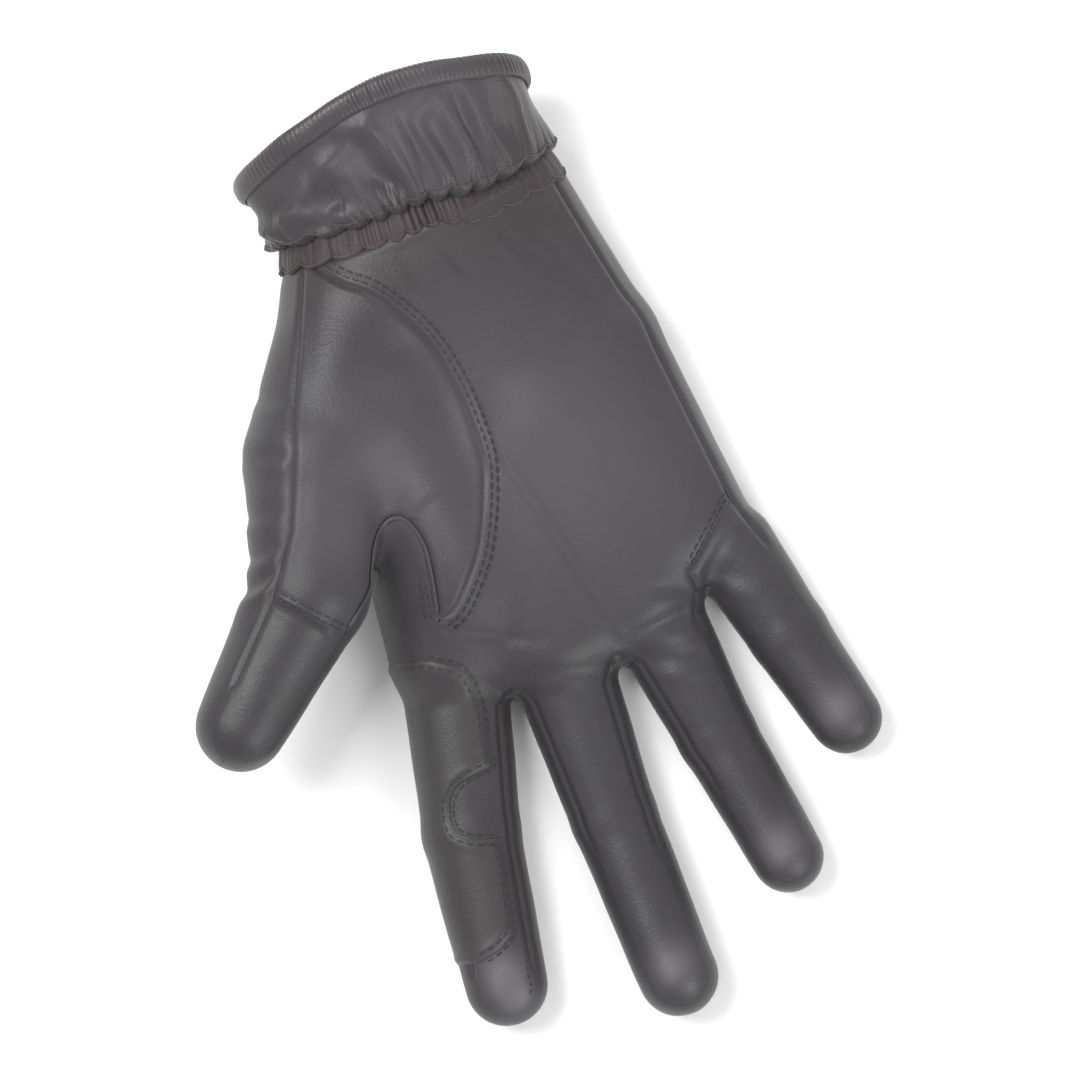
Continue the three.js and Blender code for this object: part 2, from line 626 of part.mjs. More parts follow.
// The back: the strips under palm and fingers, its sides where the outline is free, and the caps over the
// tips.
const dorsalLine = (shift) => sample(places(dorsalSeam), pointRow, shift);
{
  const low = backInset + half, high = seamInset - half;
  const dorsal = dorsalLine(half);
  dorsal[0] = atWrist(dorsal[0][0], -half);
  const left = upTo(palmRows).map((k) => (k < pointRow ? dorsal[k] : indexSide(k, low)));
  const ulnar = ulnarLine(low, -half);
  const bounds = [left, ...[0, 1, 2].map((i) => palmLine(i, low, -half)), ulnar];
  const skin = new Skin();
  for (let s = 0; s < 4; s++) skin.grid(flush(upTo(palmRows).map((k) => row(bounds[s][k], bounds[s + 1][k],
    backWide, onBottom))));
  for (let i = 0; i < 4; i++) {
    const [a, b] = fingerRows(i, low);
    skin.grid(a.map((p, k) => row(p, b[k], backWide, onBottom)));
    for (const side of [-1, 1]) {
      const upper = fingerSeam(i, side, high), lower = side < 0 ? a : b, out = fingerOut(i, side);
      const free = (i === 0 && side < 0) || (i === 3 && side > 0);
      const rows = [];
      for (let k = free ? 0 : legRows; k <= legRows + tipRows; k++) {
        const from = onTop(upper[k]), to = onBottom(lower[k]);
        const c = free ? 0 : tipShare[k - legRows];
        rows.push(roundSide(from, to, out[k], wallCols,
          c === 0 ? 0 : Math.min(1, c + seamGap / from.distanceTo(to))));
      }
      skin.grid(rows);
    }
  }
  const radial = [];
  for (let k = pointRow; k <= palmRows; k++) {
    const from = onTop(indexSide(k, high)), to = onBottom(left[k]);
    radial.push(k > pointRow ? roundSide(from, to, fingerOut(0, -1)[0],
      wallCols) : fan(vec(from.x + 5, from.y, (from.z + to.z) / 2), from, to, vec(-1, 0, 0), wallCols));
  }
  skin.grid(radial);
  const upper = ulnarLine(high, -half);
  skin.grid(flush(upper.map((p, k) => roundSide(onTop(p), onBottom(ulnar[k]), fingerOut(3, 1)[0],
    wallCols))));
  add("back", skin.solid(0, -leather), "#474548");
}

// Fourchettes: from one fingertip down the finger's side, round the crotch and up the next finger's side.
["index_middle", "middle_ring", "ring_little"].forEach((name, i) => {
  const leg = (f, side) => {
    const upper = fingerSeam(f, side, seamInset - half), lower = fingerSeam(f, side,
      backInset - half), out = fingerOut(f, side);
    const rows = [];
    for (let k = 0; k < legRows + tipRows; k++) {
      const from = onTop(upper[k]), to = onBottom(lower[k]);
      rows.push(roundSide(from, to, out[k], wallCols, 0, k <= legRows ? 1 : tipShare[k - legRows]));
    }
    const end = onTop(mixXY(upper[upper.length - 2], upper[upper.length - 1], 0.5));
    rows.push(upTo(wallCols).map(() => end.clone()));
    return rows;
  };
  const skin = new Skin();
  skin.grid([...leg(i, 1).reverse(), ...leg(i + 1, -1).slice(1)]);
  add(`fourchette_${name}`, skin.solid(0, -leather), "#3f3d41");
});

// thumb
const tipSeam = 0.17; // share of the way from the ball to the tip where the thumb's front is pieced
const frontRows = 5; // from the web's crown to that seam
const thumbRows = 6; // from that seam to the tip's round
const outer = [thumbDir[1], -thumbDir[0]]; // away from the hand
const away = [-thumbDir[1], thumbDir[0]]; // towards the fingers
const tipNode = thumbNodes[thumbNodes.length - 1];
const thumbAt = (u) => ({ p: ball.p.map((v, a) => lerp(v, tipNode.p[a], u)), r: lerp(ball.r, tipNode.r, u) });
// A seam along the thumb: sideways from its middle line, in shares of the half width less an inset, plus a
// shift.
function alongThumb(side, share, inset, shift, endInset, from = tipSeam, pointed = false) {
  const out = [];
  for (let k = 0; k <= thumbRows; k++) {
    const { p, r } = thumbAt(lerp(from, 1, k / thumbRows));
    const w = (r - inset) * share + shift;
    out.push([p[0] + side[0] * w, p[1] + side[1] * w]);
  }
  const { p, r } = thumbAt(1);
  for (let k = 1; k <= tipRows; k++) {
    const a = (Math.PI / 2) * (k / tipRows);
    const w = (r - inset) * share * Math.cos(a) + shift * (pointed ? Math.cos(a) : 1);
    const e = (r - endInset + shift) * Math.sin(a);
    out.push([p[0] + side[0] * w + thumbDir[0] * e, p[1] + side[1] * w + thumbDir[1] * e]);
  }
  return out;
}
const step = half / (thumbLength - thumbTipR);
const sidePlaces = places(thumbSideSeam);
const innerInset = 1.7;
// The thumb's outer seam in one run: rows to the web's crown, rows to the tip seam, rows to the tip.
function outerSeam(shift, from, pointed) {
  const tip = alongThumb(outer, 0.5, 0, -shift, 2.6, from, pointed);
  const root = sample(sidePlaces, crownRow, shift);
  root[0] = atWrist(root[0][0] + shift, -half);
  return { root, mid: sample([sidePlaces[sidePlaces.length - 1], tip[0]], frontRows, shift), tip };
}
const crown = places(archRight)[archRight.length - 1];
{
  const front = new Skin();
  const seam = outerSeam(half, tipSeam - step, true);
  const gusset = gussetLine(-half);
  gusset[0] = atWrist(gusset[0][0] - half, -half);
  const crownIn = [crown[0] + 0.25 * half, crown[1] + half];
  const middle = upTo(crownRow).map((k) => (k === crownRow ? crownIn : mixXY(seam.root[k], gusset[k], 0.52)));
  front.grid(flush(middle.map((p, k) => row(seam.root[k], p, wide, onTop))));
  front.grid(flush(middle.map((p, k) => row(p, gusset[k], wide, onTop))));
  const inner = alongThumb(away, 1, innerInset, -half, 2.6, tipSeam - step)[0];
  const left = [...places(archLeft), inner];
  const leg = sample(left, frontRows, -half);
  leg[0] = crownIn;
  const last = seam.tip[0];
  const mid = seam.mid.map((p, k) => (k === frontRows ? last : k === 0 ? seam.root[crownRow] : p));
  front.grid(leg.map((p, k) => row(mid[k], k === frontRows ? inner : p, wide, onTop)));
  const n = pointRow - crownRow;
  const right = sample([...places(archRight)].reverse(), n, half);
  right[0] = crownIn;
  const rows = right.map((p,
    k) => (k < n ? row(p, gusset[crownRow + k], wide, onTop) : row(mixXY(right[n - 1], point, 0.93),
    mixXY(gusset[pointRow - 1], point, 0.93), wide, onTop)));
  front.grid(rows);
  add("thumb_front", front.solid(0, -leather));

  const tip = new Skin();
  const a = alongThumb(outer, 0.5, 0, -half, 2.6, tipSeam + step, true), b = alongThumb(away, 1, innerInset,
    -half, 2.6, tipSeam + step, true);
  tip.grid(a.map((p, k) => row(p, b[k], wide, onTop)));
  add("thumb_tip", tip.solid(0, -leather));
}

const underRoom = 2.2; // the seam is given more room where it climbs the side of the hand
const underBow = 3; // and how far it bows there towards the wrist
// The seam under the thumb: from the dorsal seam's middle up the side of the hand, then along the thumb to
// its tip.
function underSeam(shift) {
  const tip = alongThumb(away, 0.5, 0, shift, 3.4).map(onBottom);
  const corner = dorsalLine(-half)[crownRow];
  const start = onBottom([corner[0], corner[1] - (shift > 0 ? seamGap : 0)]);
  const climb = upTo(frontRows - 1).slice(1).map((k) => {
    const p = onBottom(dorsalLine(0)[crownRow]).lerp(onBottom(alongThumb(away, 0.5, 0, 0, 3.4)[0]),
      k / frontRows);
    const bow = underBow * Math.sin((Math.PI * k) / frontRows);
    return settle(p.addScaledVector(vec(away[0], away[1], 0), shift * underRoom - bow));
  });
  return [start, ...climb, ...tip];
}
// Points round a side from one surface point to another by way of a third.
function bend(from, over, to, cols) {
  const pull = over.clone().multiplyScalar(2).sub(from.clone().lerp(to, 0.5));
  return upTo(cols).map((j) => {
    if (j === 0) return from.clone();
    if (j === cols) return to.clone();
    const t = j / cols;
    return settle(from.clone().lerp(pull, t).lerp(pull.clone().lerp(to, t), t));
  });
}
{
  const skin = new Skin();
  const seam = outerSeam(-half, tipSeam);
  const upper = [...seam.root, ...seam.mid.slice(1, -1), ...seam.tip];
  const dorsal = dorsalLine(-half);
  dorsal[0] = atWrist(dorsal[0][0], -half);
  const lower = [...dorsal.slice(0, crownRow + 1).map(onBottom), ...underSeam(-half).slice(1)];
  const rows = upper.map((p, k) => {
    const from = onTop(p), to = lower[k];
    const tipRow = k - (upper.length - 1 - tipRows);
    const a = tipRow > 0 ? (Math.PI / 2) * (tipRow / tipRows) : 0;
    const dir = k <= crownRow ? [p[0] - to.x, p[1] - to.y] : outer;
    const l = Math.hypot(...dir);
    const via = vec((dir[0] / l) * Math.cos(a) + thumbDir[0] * Math.sin(a),
      (dir[1] / l) * Math.cos(a) + thumbDir[1] * Math.sin(a), 0);
    return fan(from.clone().add(to).multiplyScalar(0.5), from, to, via, 7);
  });
  skin.grid(flush(rows));
  add("thumb_back", skin.solid(0, -leather), "#474548");
}

// The thumb's gusset: the inner side of the thumb, the hollow under the web's free edge, and on to the
// seam's point.
{
  const skin = new Skin();
  const inner = alongThumb(away, 1, innerInset, half, 2.6);
  const leg = sample([...places(archLeft), inner[0]], frontRows, half);
  const crownOut = [crown[0] - 0.25 * half, crown[1] - half];
  const upper = [crownOut, ...leg.slice(1, -1), ...inner];
  const lower = underSeam(half);
  const turn = settle(vec(palmX(thumbGap.across), palmY(thumbGap.along), thumbGap.height));
  // the way out of the hollow, and where it leaves the form from between two points
  const look = vec(-0.45, -0.89, 0);
  const out = (a, b, dir) => {
    const middle = a.clone().lerp(b, 0.5).addScaledVector(dir, -3);
    return meet(middle, dir, 40) ?? settle(middle);
  };
  skin.grid(upper.map((p, k) => {
    const from = onTop(p), to = lower[k];
    const w = k / frontRows;
    if (w < 1) return bend(from, k === 0 ? turn : out(from, to, look.clone().lerp(vec(away[0], away[1], 0),
      w).normalize()), to, 6);
    const tipRow = k - (upper.length - 1 - tipRows);
    const a = tipRow > 0 ? (Math.PI / 2) * (tipRow / tipRows) : 0;
    const depth = 2.5 * Math.cos(a);
    const middle = vec((p[0] + to.x) / 2 - away[0] * depth, (p[1] + to.y) / 2 - away[1] * depth,
      (from.z + to.z) / 2);
    return fan(middle, from, to,
      vec(away[0] * Math.cos(a) + thumbDir[0] * Math.sin(a),
      away[1] * Math.cos(a) + thumbDir[1] * Math.sin(a), 0), 6);
  }));
  const n = pointRow - crownRow;
  const right = sample([...places(archRight)].reverse(), n, -half);
  const dorsal = dorsalLine(-half);
  const end = indexSide(pointRow, backInset + half);
  const side = indexSide(pointRow, 0);
  const last = [onTop([point[0] - half, point[1] + half]), onBottom([end[0], point[1] + half + seamGap])];
  skin.grid(right.map((p, k) => {
    if (k === n) return fan(vec(lerp(point[0], end[0], 0.35), point[1] + half, palmDepth * 0.45), ...last,
      vec(-1, 0.03, 0), 6);
    const from = onTop(k === 0 ? crownOut : p);
    const to = k === 0 ? lower[0] : onBottom(dorsal[crownRow + k]);
    return bend(from, settle(turn.clone().lerp(vec(side[0], side[1], palmDepth * 0.45), k / n)), to, 6);
  }));
  add("thumb_gusset", skin.solid(0, -leather), "#3f3d41");
}

// patch on the index finger
{
  const f = fingerList[0];
  const rows = patchEdge.map(({ along: s, edge }) => {
    const t = (s * patchLength - patchStart) / f.reach;
    const { p, r } = f.at(t);
    const w = Math.min(halfWidth(p, f.n), r * 1.02);
    const from = onTop([p[0] + f.n[0] * w * edge, p[1] + f.n[1] * w * edge]);
    const to = onBottom([p[0] - f.n[0] * r * patchUnder, p[1] - f.n[1] * r * patchUnder]);
    return fan(vec(...p), from, to, vec(-f.n[0], -f.n[1], 0), 7);
  });
  const skin = new Skin();
  skin.grid(rows);
  add("index_patch", skin.solid(patchLift + patchLeather, patchLift), "#434144");
}

// band, cuff and binding
const axisZ = wristDepth * 0.49;
const circle = (n) => [...Array(n).keys()].map((i) => (i / n) * 2 * Math.PI);
// The wrist's radius at a turn, where palm and back end.
function wristAt(a) {
  const dir = vec(Math.sin(a), 0, Math.cos(a));
  let r = wristWidth / 2;
  for (let i = 0; i < 3; i++) {
    const hit = meet(vec(wristMid, bandLine(wristMid + r * Math.sin(a)), axisZ), dir, 60);
    if (hit) r = Math.hypot(hit.x - wristMid, hit.z - axisZ);
  }
  return r;
}
const turns = circle(round);
const wristRadius = turns.map(wristAt);
// Rings of points joined into a closed tube wall; each ring is a closed line round the wrist.
function rings(list) {
  const geometry = new THREE.BufferGeometry();
  const n = list[0].length;
  geometry.setAttribute("position", new THREE.Float32BufferAttribute(list.flat().flatMap((p) => [p.x, p.y,
    p.z]), 3));
  const index = [];
  list.forEach((_, i) => {
    const next = (i + 1) % list.length;
    for (let j = 0; j < n; j++) {
      const a = i * n + j, b = i * n + ((j + 1) % n), c = next * n + j, d = next * n + ((j + 1) % n);
      index.push(a, b, c, b, d, c);
    }
  });
  geometry.setIndex(index);
  return geometry;
}
const place = (r, a, y, shiftX, axis) => vec(wristMid + shiftX + r * Math.sin(a), y,
  Math.max(axis + r * Math.cos(a), 0));
const inward = (p, a, depth) => vec(p.x - depth * Math.sin(a), p.y, p.z - depth * Math.cos(a));

const pinch = 0.035; // how much narrower the band is, as a share of the wrist
{
  const around = circle(bandPleats * 4);
  const outside = [0, 1].map((h) => around.map((a) => {
    const wrist = wristAt(a);
    const r = wrist * (1 - pinch * h) + bandPleatDepth * Math.cos(bandPleats * a) * (h === 0 ? 0.4 : 1);
    return place(r, a, bandLine(wristMid + wrist * Math.sin(a)) + half + h * (bandHeight - seamGap), 0,
      axisZ);
  }));
  const inside = outside.map((ring) => ring.map((p, i) => inward(p, around[i], leather)));
  add("wrist_band", rings([...outside, ...inside.reverse()]), "#403c3f", 0.65);
}

const cuffShift = -0.02 * cuffWidth;
const rimAt = (a) => wristY + bandHeight + cuffLength - (rimLead / 2) * (1 - Math.cos(a)) - (rimArch / 2) * (1 - Math.cos(2 * a)) + rimSkew * Math.sin(a);
const wrap = (d) => ((((d + 180) % 360) + 360) % 360) - 180;
function cuffRadius(i, s) {
  const a = turns[i];
  const start = wristRadius[i] * (1 - pinch);
  const rim = 1 / Math.hypot(Math.sin(a) / (cuffWidth / 2 - bindingRoll),
    Math.cos(a) / (cuffDepth / 2 - bindingRoll));
  let r = lerp(start, rim, Math.pow(s, 0.5)) + 2.2 * Math.sin(Math.PI * Math.pow(s, 0.45));
  for (const fold of cuffFolds) {
    const d = wrap(a / rad - lerp(fold.band, fold.rim, s)) / fold.spread;
    const g = s < fold.peak ? ease(s / fold.peak) : 1 - 0.72 * ease((s - fold.peak) / (1 - fold.peak));
    r += cuffFoldDepth * g * (fold.height * Math.exp(-d * d) - 0.12);
  }
  return r;
}
function cuffPoint(i, s, depth, lead = 0) {
  const a = turns[i];
  const start = bandLine(wristMid + wristRadius[i] * Math.sin(a)) + bandHeight + half;
  const end = rimAt(a) - bindingRoll - bindingClearance;
  const axis = lerp(axisZ, cuffDepth / 2 - 0.6, ease(s));
  const p = place(cuffRadius(i, Math.min(s, 1)), a, lerp(start, end, s) + lead, cuffShift * s, axis);
  return inward(p, a, depth);
}
{
  const levels = [0, 0.1, 0.28, 0.52, 0.8, 1];
  const wall = (depth) => levels.map((s) => turns.map((_, i) => cuffPoint(i, s, depth)));
  add("cuff", rings([...wall(0), ...wall(leather).reverse()]), "#4a484b");
}
{
  const c = bindingClearance, r = bindingRoll, w = leather, h = bindingHeight;
  // section of the binding: depth inwards from the cuff's outside, and height below the rim
  const section = [
    [-c, h], [-c - r * 0.7, h - 0.2], [-c - r, h - 1], [-c - r, 1.5], [-c - r * 0.5, 0.35], [w / 2, 0],
    [w + c + r * 0.5, 0.35], [w + c + r, 1.5], [w + c + r, h - 1], [w + c, h], [w + c, (h + r) / 2], [w + c,
      r], [-c, r], [-c, (h + r) / 2],
  ];
  const ring = ([depth, below]) => turns.map((a, i) => {
    const start = bandLine(wristMid + wristRadius[i] * Math.sin(a)) + bandHeight + half;
    const end = rimAt(a) - r - c;
    const y = rimAt(a) - below;
    const s = clamp((y - start) / (end - start), 0, 1);
    const p = cuffPoint(i, s, depth);
    return vec(p.x, y, Math.max(p.z, 0));
  });
  add("cuff_binding", rings(section.map(ring)), "#4d4b4e", 0.5);
}

const glove = new THREE.Group();
glove.name = "riding_glove";
const inner = new THREE.Group();
for (const mesh of parts) inner.add(mesh);
const box = new THREE.Box3().setFromObject(inner);
inner.position.set(-(box.min.x + box.max.x) / 2, -(box.min.y + box.max.y) / 2, -box.min.z);
glove.add(inner);
export default glove;
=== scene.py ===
import math

import bpy
import numpy as np
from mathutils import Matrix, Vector


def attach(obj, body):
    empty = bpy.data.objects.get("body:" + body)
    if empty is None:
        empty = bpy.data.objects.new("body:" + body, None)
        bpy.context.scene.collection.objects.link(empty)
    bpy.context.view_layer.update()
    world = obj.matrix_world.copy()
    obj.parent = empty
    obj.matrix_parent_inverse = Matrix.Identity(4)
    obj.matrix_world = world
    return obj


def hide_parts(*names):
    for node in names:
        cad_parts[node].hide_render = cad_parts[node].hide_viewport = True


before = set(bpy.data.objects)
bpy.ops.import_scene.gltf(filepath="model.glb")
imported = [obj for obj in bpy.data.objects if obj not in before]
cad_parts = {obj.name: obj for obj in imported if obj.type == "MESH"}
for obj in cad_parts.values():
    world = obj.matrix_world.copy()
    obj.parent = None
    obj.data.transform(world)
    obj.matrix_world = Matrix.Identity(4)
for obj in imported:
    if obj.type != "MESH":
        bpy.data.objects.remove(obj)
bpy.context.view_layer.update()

# Floor, light and camera: the glove lies on a plain pale floor under soft studio light. The camera looks
# straight down at the palm and is turned, so that the fingers point down and to the right, as in a product
# photograph.
picture_width = 0.2592  # what the picture takes in at the height of the floor
picture_middle = (0.0148, 0.0012)
picture_turn = math.radians(-20)
camera_height = 4.0

floor_mesh = bpy.data.meshes.new("floor")
floor_reach = 9.0
floor_corners = [(x * floor_reach, y * floor_reach, 0) for x, y in ((-1, -1), (1, -1), (1, 1), (-1, 1))]
floor_mesh.from_pydata(floor_corners, [], [(0, 1, 2, 3)])
floor = bpy.data.objects.new("floor", floor_mesh)
bpy.context.scene.collection.objects.link(floor)
floor.location.z = -0.0002


def plain_look(name, colour, roughness, shine=0.5):
    """A material of one colour."""
    material = bpy.data.materials.new(name)
    material.use_nodes = True
    shader = material.node_tree.nodes["Principled BSDF"]
    shader.inputs["Base Color"].default_value = (*colour, 1)
    shader.inputs["Roughness"].default_value = roughness
    shader.inputs["Specular IOR Level"].default_value = shine
    return material


floor_mesh.materials.append(plain_look("white_paper", (0.95, 0.95, 0.95), 0.85, 0.2))


def lamp(name, place, aim, size, power):
    """A square soft box at place that shines at aim."""
    light = bpy.data.lights.new(name, "AREA")
    light.energy = power
    light.shape = "SQUARE"
    light.size = size
    holder = bpy.data.objects.new(name, light)
    bpy.context.scene.collection.objects.link(holder)
    holder.location = place
    holder.rotation_mode = "QUATERNION"
    holder.rotation_quaternion = (Vector(aim) - Vector(place)).to_track_quat("-Z", "Y")
    holder.visible_camera = False


lamp("key", (-0.5, 0.55, 1.3), (0, 0, 0), 0.7, 20)
lamp("fill", (0.5, -1.0, 0.9), (0, 0, 0), 0.6, 9)
lamp("low", (0.9, 0.8, 0.6), (0, 0, 0.02), 0.6, 4)
sky = bpy.data.worlds.new("studio")
bpy.context.scene.world = sky
sky.use_nodes = True
sky.node_tree.nodes["Background"].inputs["Color"].default_value = (1.0, 1.0, 1.0, 1)
sky.node_tree.nodes["Background"].inputs["Strength"].default_value = 0.62

bpy.context.scene.view_settings.view_transform = "Standard"

camera = bpy.data.cameras.new("camera")
camera.sensor_width = 36
camera.lens = camera.sensor_width * camera_height / picture_width
camera.clip_end = 20
camera_holder = bpy.data.objects.new("camera", camera)
bpy.context.scene.collection.objects.link(camera_holder)
camera_holder.location = (*picture_middle, camera_height)
camera_holder.rotation_euler = (0, 0, picture_turn)
bpy.context.scene.camera = camera_holder

# The palm: one piece of thin goat leather with the fronts of index, middle and ring finger, its edges turned
# in and sewn. Here are also the form of the filled hand that every panel lies on, and the ways of laying a
# panel on it. Sizes in millimetres in the hand's own axes, its origin between the knuckles.
mm = 0.001
hand_place = np.array([18.5544, -22.3167, 0.0])
leather = 1.1
seam_gap = 0.05
half = seam_gap / 2
seam_inset, back_inset = 3.0, 3.6
palm_length, palm_breadth, palm_depth, heel_depth = 104.0, 94.0, 27.0, 34.0
palm_flatness, back_sink, floor_softness = 0.9, 2.2, 1.2
wrist_width, wrist_depth, wrist_rise, wrist_skew = 64.0, 42.0, 2.8, 1.4
wrist_mid = -0.045 * palm_breadth
thumb_length, thumb_width, thumb_rise, thumb_splay = 47.0, 25.6, 36.0, math.radians(46.8)
web_softness, palm_softness, knuckle_softness, joint_softness = 11.0, 14, 2.4, 1.2
cast_rounds, cast_stride, cast_slack = 36, 0.86, 0.3
above_hand, below_floor = 60.0, -0.5

# length, width, across, ahead, splay, waist, tip, bow, lift
finger_sizes = {
    "index": (85.0, 25.0, -0.358, 0.0, -10.8, 0.91, 0.79, -2.0, 3.4),
    "middle": (91.5, 24.8, -0.1, 4.0, 0.7, 0.84, 0.78, -0.9, 4.0),
    "ring": (75.4, 23.6, 0.167, 2.0, 8.9, 0.81, 0.74, -0.7, 3.4),
    "little": (57.6, 21.6, 0.41, -6.0, 14.2, 0.89, 0.81, 0.0, 2.6),
}
# across, along and thickness at the wrist's end, then the same at the knuckles' end
palm_rounds = [
    (-0.2, 1.1, 0.48, -0.356, 0.06, 0.54),
    (-0.085, 1.1, 0.53, -0.096, 0.0, 0.52),
    (0.053, 1.1, 0.53, 0.149, 0.02, 0.5),
    (0.13, 1.1, 0.47, 0.268, 0.6, 0.56),
    (0.268, 0.6, 0.445, 0.346, 0.154, 0.49),
]
# across, along, rise and thickness of the balls of the thumb and of the web
thumb_rounds = [(-0.266, 0.88, 0.6, 0.7), (-0.505, 0.577, 0.83, 0.66), (-0.632, 0.297, 0.95, 0.56)]
web_rounds = [(-0.33, 0.6, 0.8, 0.55), (-0.285, 0.2, 0.44, 0.4)]


def mix(start, end, share):
    """The point at a share of the way from start to end."""
    return start + (end - start) * share


def unit(ways):
    """Ways made one long."""
    return ways / np.linalg.norm(ways, axis=-1)[..., None]


def run_along(line):
    """The length of a line of points up to each of them."""
    return np.concatenate([[0], np.cumsum(np.linalg.norm(np.diff(line, axis=0), axis=-1))])


def ease(value):
    """A smooth step from 0 to 1."""
    share = np.clip(value, 0, 1)
    return share * share * (3 - 2 * share)


def taper(points, first, first_radius, second, second_radius, flat):
    """Distance to a round that tapers from one ball to another; its depth is scaled by flat."""
    squash = np.array([1, 1, 1 / flat])
    start = first * squash
    way = second * squash - start
    offset = points * squash - start
    length_squared = way @ way
    narrowing = first_radius - second_radius
    slant_squared = length_squared - narrowing * narrowing
    along = offset @ way
    beyond = along - length_squared
    across = offset * length_squared - way * along[..., None]
    aside_squared = (across * across).sum(-1)
    limit = np.sign(narrowing) * narrowing * narrowing * aside_squared
    slanted = np.sqrt(aside_squared * slant_squared / length_squared)
    side = (slanted + along * narrowing) / length_squared - first_radius
    near = np.sqrt(aside_squared + along * along * length_squared) / length_squared - first_radius
    far = np.sqrt(aside_squared + beyond * beyond * length_squared) / length_squared - second_radius
    past_end = np.sign(beyond) * slant_squared * beyond * beyond * length_squared > limit
    before_start = np.sign(along) * slant_squared * along * along * length_squared < limit
    return np.where(past_end, far, np.where(before_start, near, side))


def join(one, two, fillet):
    """Two distances joined with a soft fillet."""
    near = np.maximum(fillet - np.abs(one - two), 0) / fillet
    return np.minimum(one, two) - near * near * fillet / 4


def resting(radius, lift=0.0):
    """Height of a round's middle line where it lies on the floor."""
    return radius * palm_flatness - back_sink + lift


class Finger:
    """A finger's middle line: balls at root, middle joint and tip, from a row of the table of sizes."""

    def __init__(self, sizes):
        length, width, across, ahead, splay, waist, tip, bow, lift = sizes
        r0 = width / 2
        self.radii = np.array([r0, r0 * waist, r0 * tip])
        turn = math.radians(splay)
        self.way = np.array([math.sin(turn), -math.cos(turn)])
        self.side = np.array([math.cos(turn), math.sin(turn)])
        self.root = np.array([across * palm_breadth, -ahead])
        self.reach = length - self.radii[2]
        joint = self.root + self.way * self.reach / 2 + self.side * bow
        flat = [self.root, joint, self.root + self.way * self.reach]
        heights = [resting(r0), resting(r0 * waist, 1), resting(r0 * tip, lift)]
        self.nodes = np.array([[*xy, z] for xy, z in zip(flat, heights)])

    def at(self, t):
        """Points of the middle line and radii at shares t of its length."""
        knots = [0, 0.5, 1]
        past = np.maximum(t - 1, 0)[:, None] * 2 * (self.nodes[2] - self.nodes[1])
        before = np.minimum(t, 0)[:, None] * 2 * (self.nodes[1] - self.nodes[0])
        line = np.stack([np.interp(t, knots, self.nodes[:, c]) for c in range(3)], -1)
        return line + past + before, np.interp(t, knots, self.radii)

    def distance(self, p):
        """Distance to the finger's two rounds, joined at the middle joint."""
        balls = list(zip(self.nodes, self.radii))
        halves = [taper(p, *one, *two, palm_flatness) for one, two in zip(balls, balls[1:])]
        return join(*halves, joint_softness)


fingers = [Finger(s) for s in finger_sizes.values()]
thumb_way = np.array([-math.sin(thumb_splay), -math.cos(thumb_splay)])
thumb_tip_r = 0.425 * thumb_width
thumb_balls, web_balls = ([(np.array([x * palm_breadth, y * palm_length, z * thumb_rise]), r * thumb_width)
                           for x, y, z, r in rounds] for rounds in (thumb_rounds, web_rounds))
ball, ball_r = thumb_balls[-1]
thumb_end = np.array([*(ball[:2] + thumb_way * (thumb_length - thumb_tip_r)), thumb_rise * 1.02])
thumb_balls.append((thumb_end, thumb_tip_r))
wrist_core = ((np.array([wrist_mid, 1.16 * palm_length, wrist_depth * 0.49]), wrist_depth * 0.49),
              (np.array([wrist_mid, 0.66 * palm_length, heel_depth * 0.5]), heel_depth * 0.44))


def palm_round(points, row):
    """Distance to one round of the palm."""
    across, along, thick, to_across, to_along, to_thick = row
    start_radius, end_radius = thick * heel_depth, to_thick * palm_depth
    height = resting(start_radius, 3 if along > 1 else 1)
    start = np.array([across * palm_breadth, along * palm_length, height])
    end = np.array([to_across * palm_breadth, to_along * palm_length, resting(end_radius)])
    return taper(points, start, start_radius, end, end_radius, palm_flatness)


def form(points):
    """Distance to the filled glove: rounds of palm, wrist and fingers, joined softly, and the thumb with
    its web, joined to them, all cut by the floor."""
    palm = join(palm_round(points, palm_rounds[3]), palm_round(points, palm_rounds[4]), 2)
    for row in palm_rounds[:3]:
        palm = join(palm, palm_round(points, row), palm_softness)
    palm = join(palm, taper(points, *wrist_core[0], *wrist_core[1], 1), palm_softness)
    for finger in fingers:
        palm = join(palm, finger.distance(points), knuckle_softness)
    thumb = taper(points, *thumb_balls[0], *thumb_balls[1], 1)
    for one, two in zip(thumb_balls[1:-1], thumb_balls[2:]):
        thumb = join(thumb, taper(points, *one, *two, 1), 2)
    thumb = join(thumb, taper(points, *web_balls[0], *web_balls[1], 1), 7)
    return -join(-join(palm, thumb, web_softness), points[..., 2], floor_softness)


def slope(points):
    """Gradient of the form from four probes at the corners of a tetrahedron."""
    probes = np.array([(1, -1, -1), (-1, -1, 1), (-1, 1, -1), (1, 1, 1)], float)
    gap = 0.05
    return sum(probe * form(points + probe * gap)[..., None] for probe in probes) / (4 * gap)


def settle(points, rounds=7):
    """Points moved along the slope onto the form."""
    for _ in range(rounds):
        steepness = slope(points)
        squared = np.maximum((steepness * steepness).sum(-1), 0.2)
        points = points - steepness * (form(points) * 0.95 / squared)[..., None]
    return points


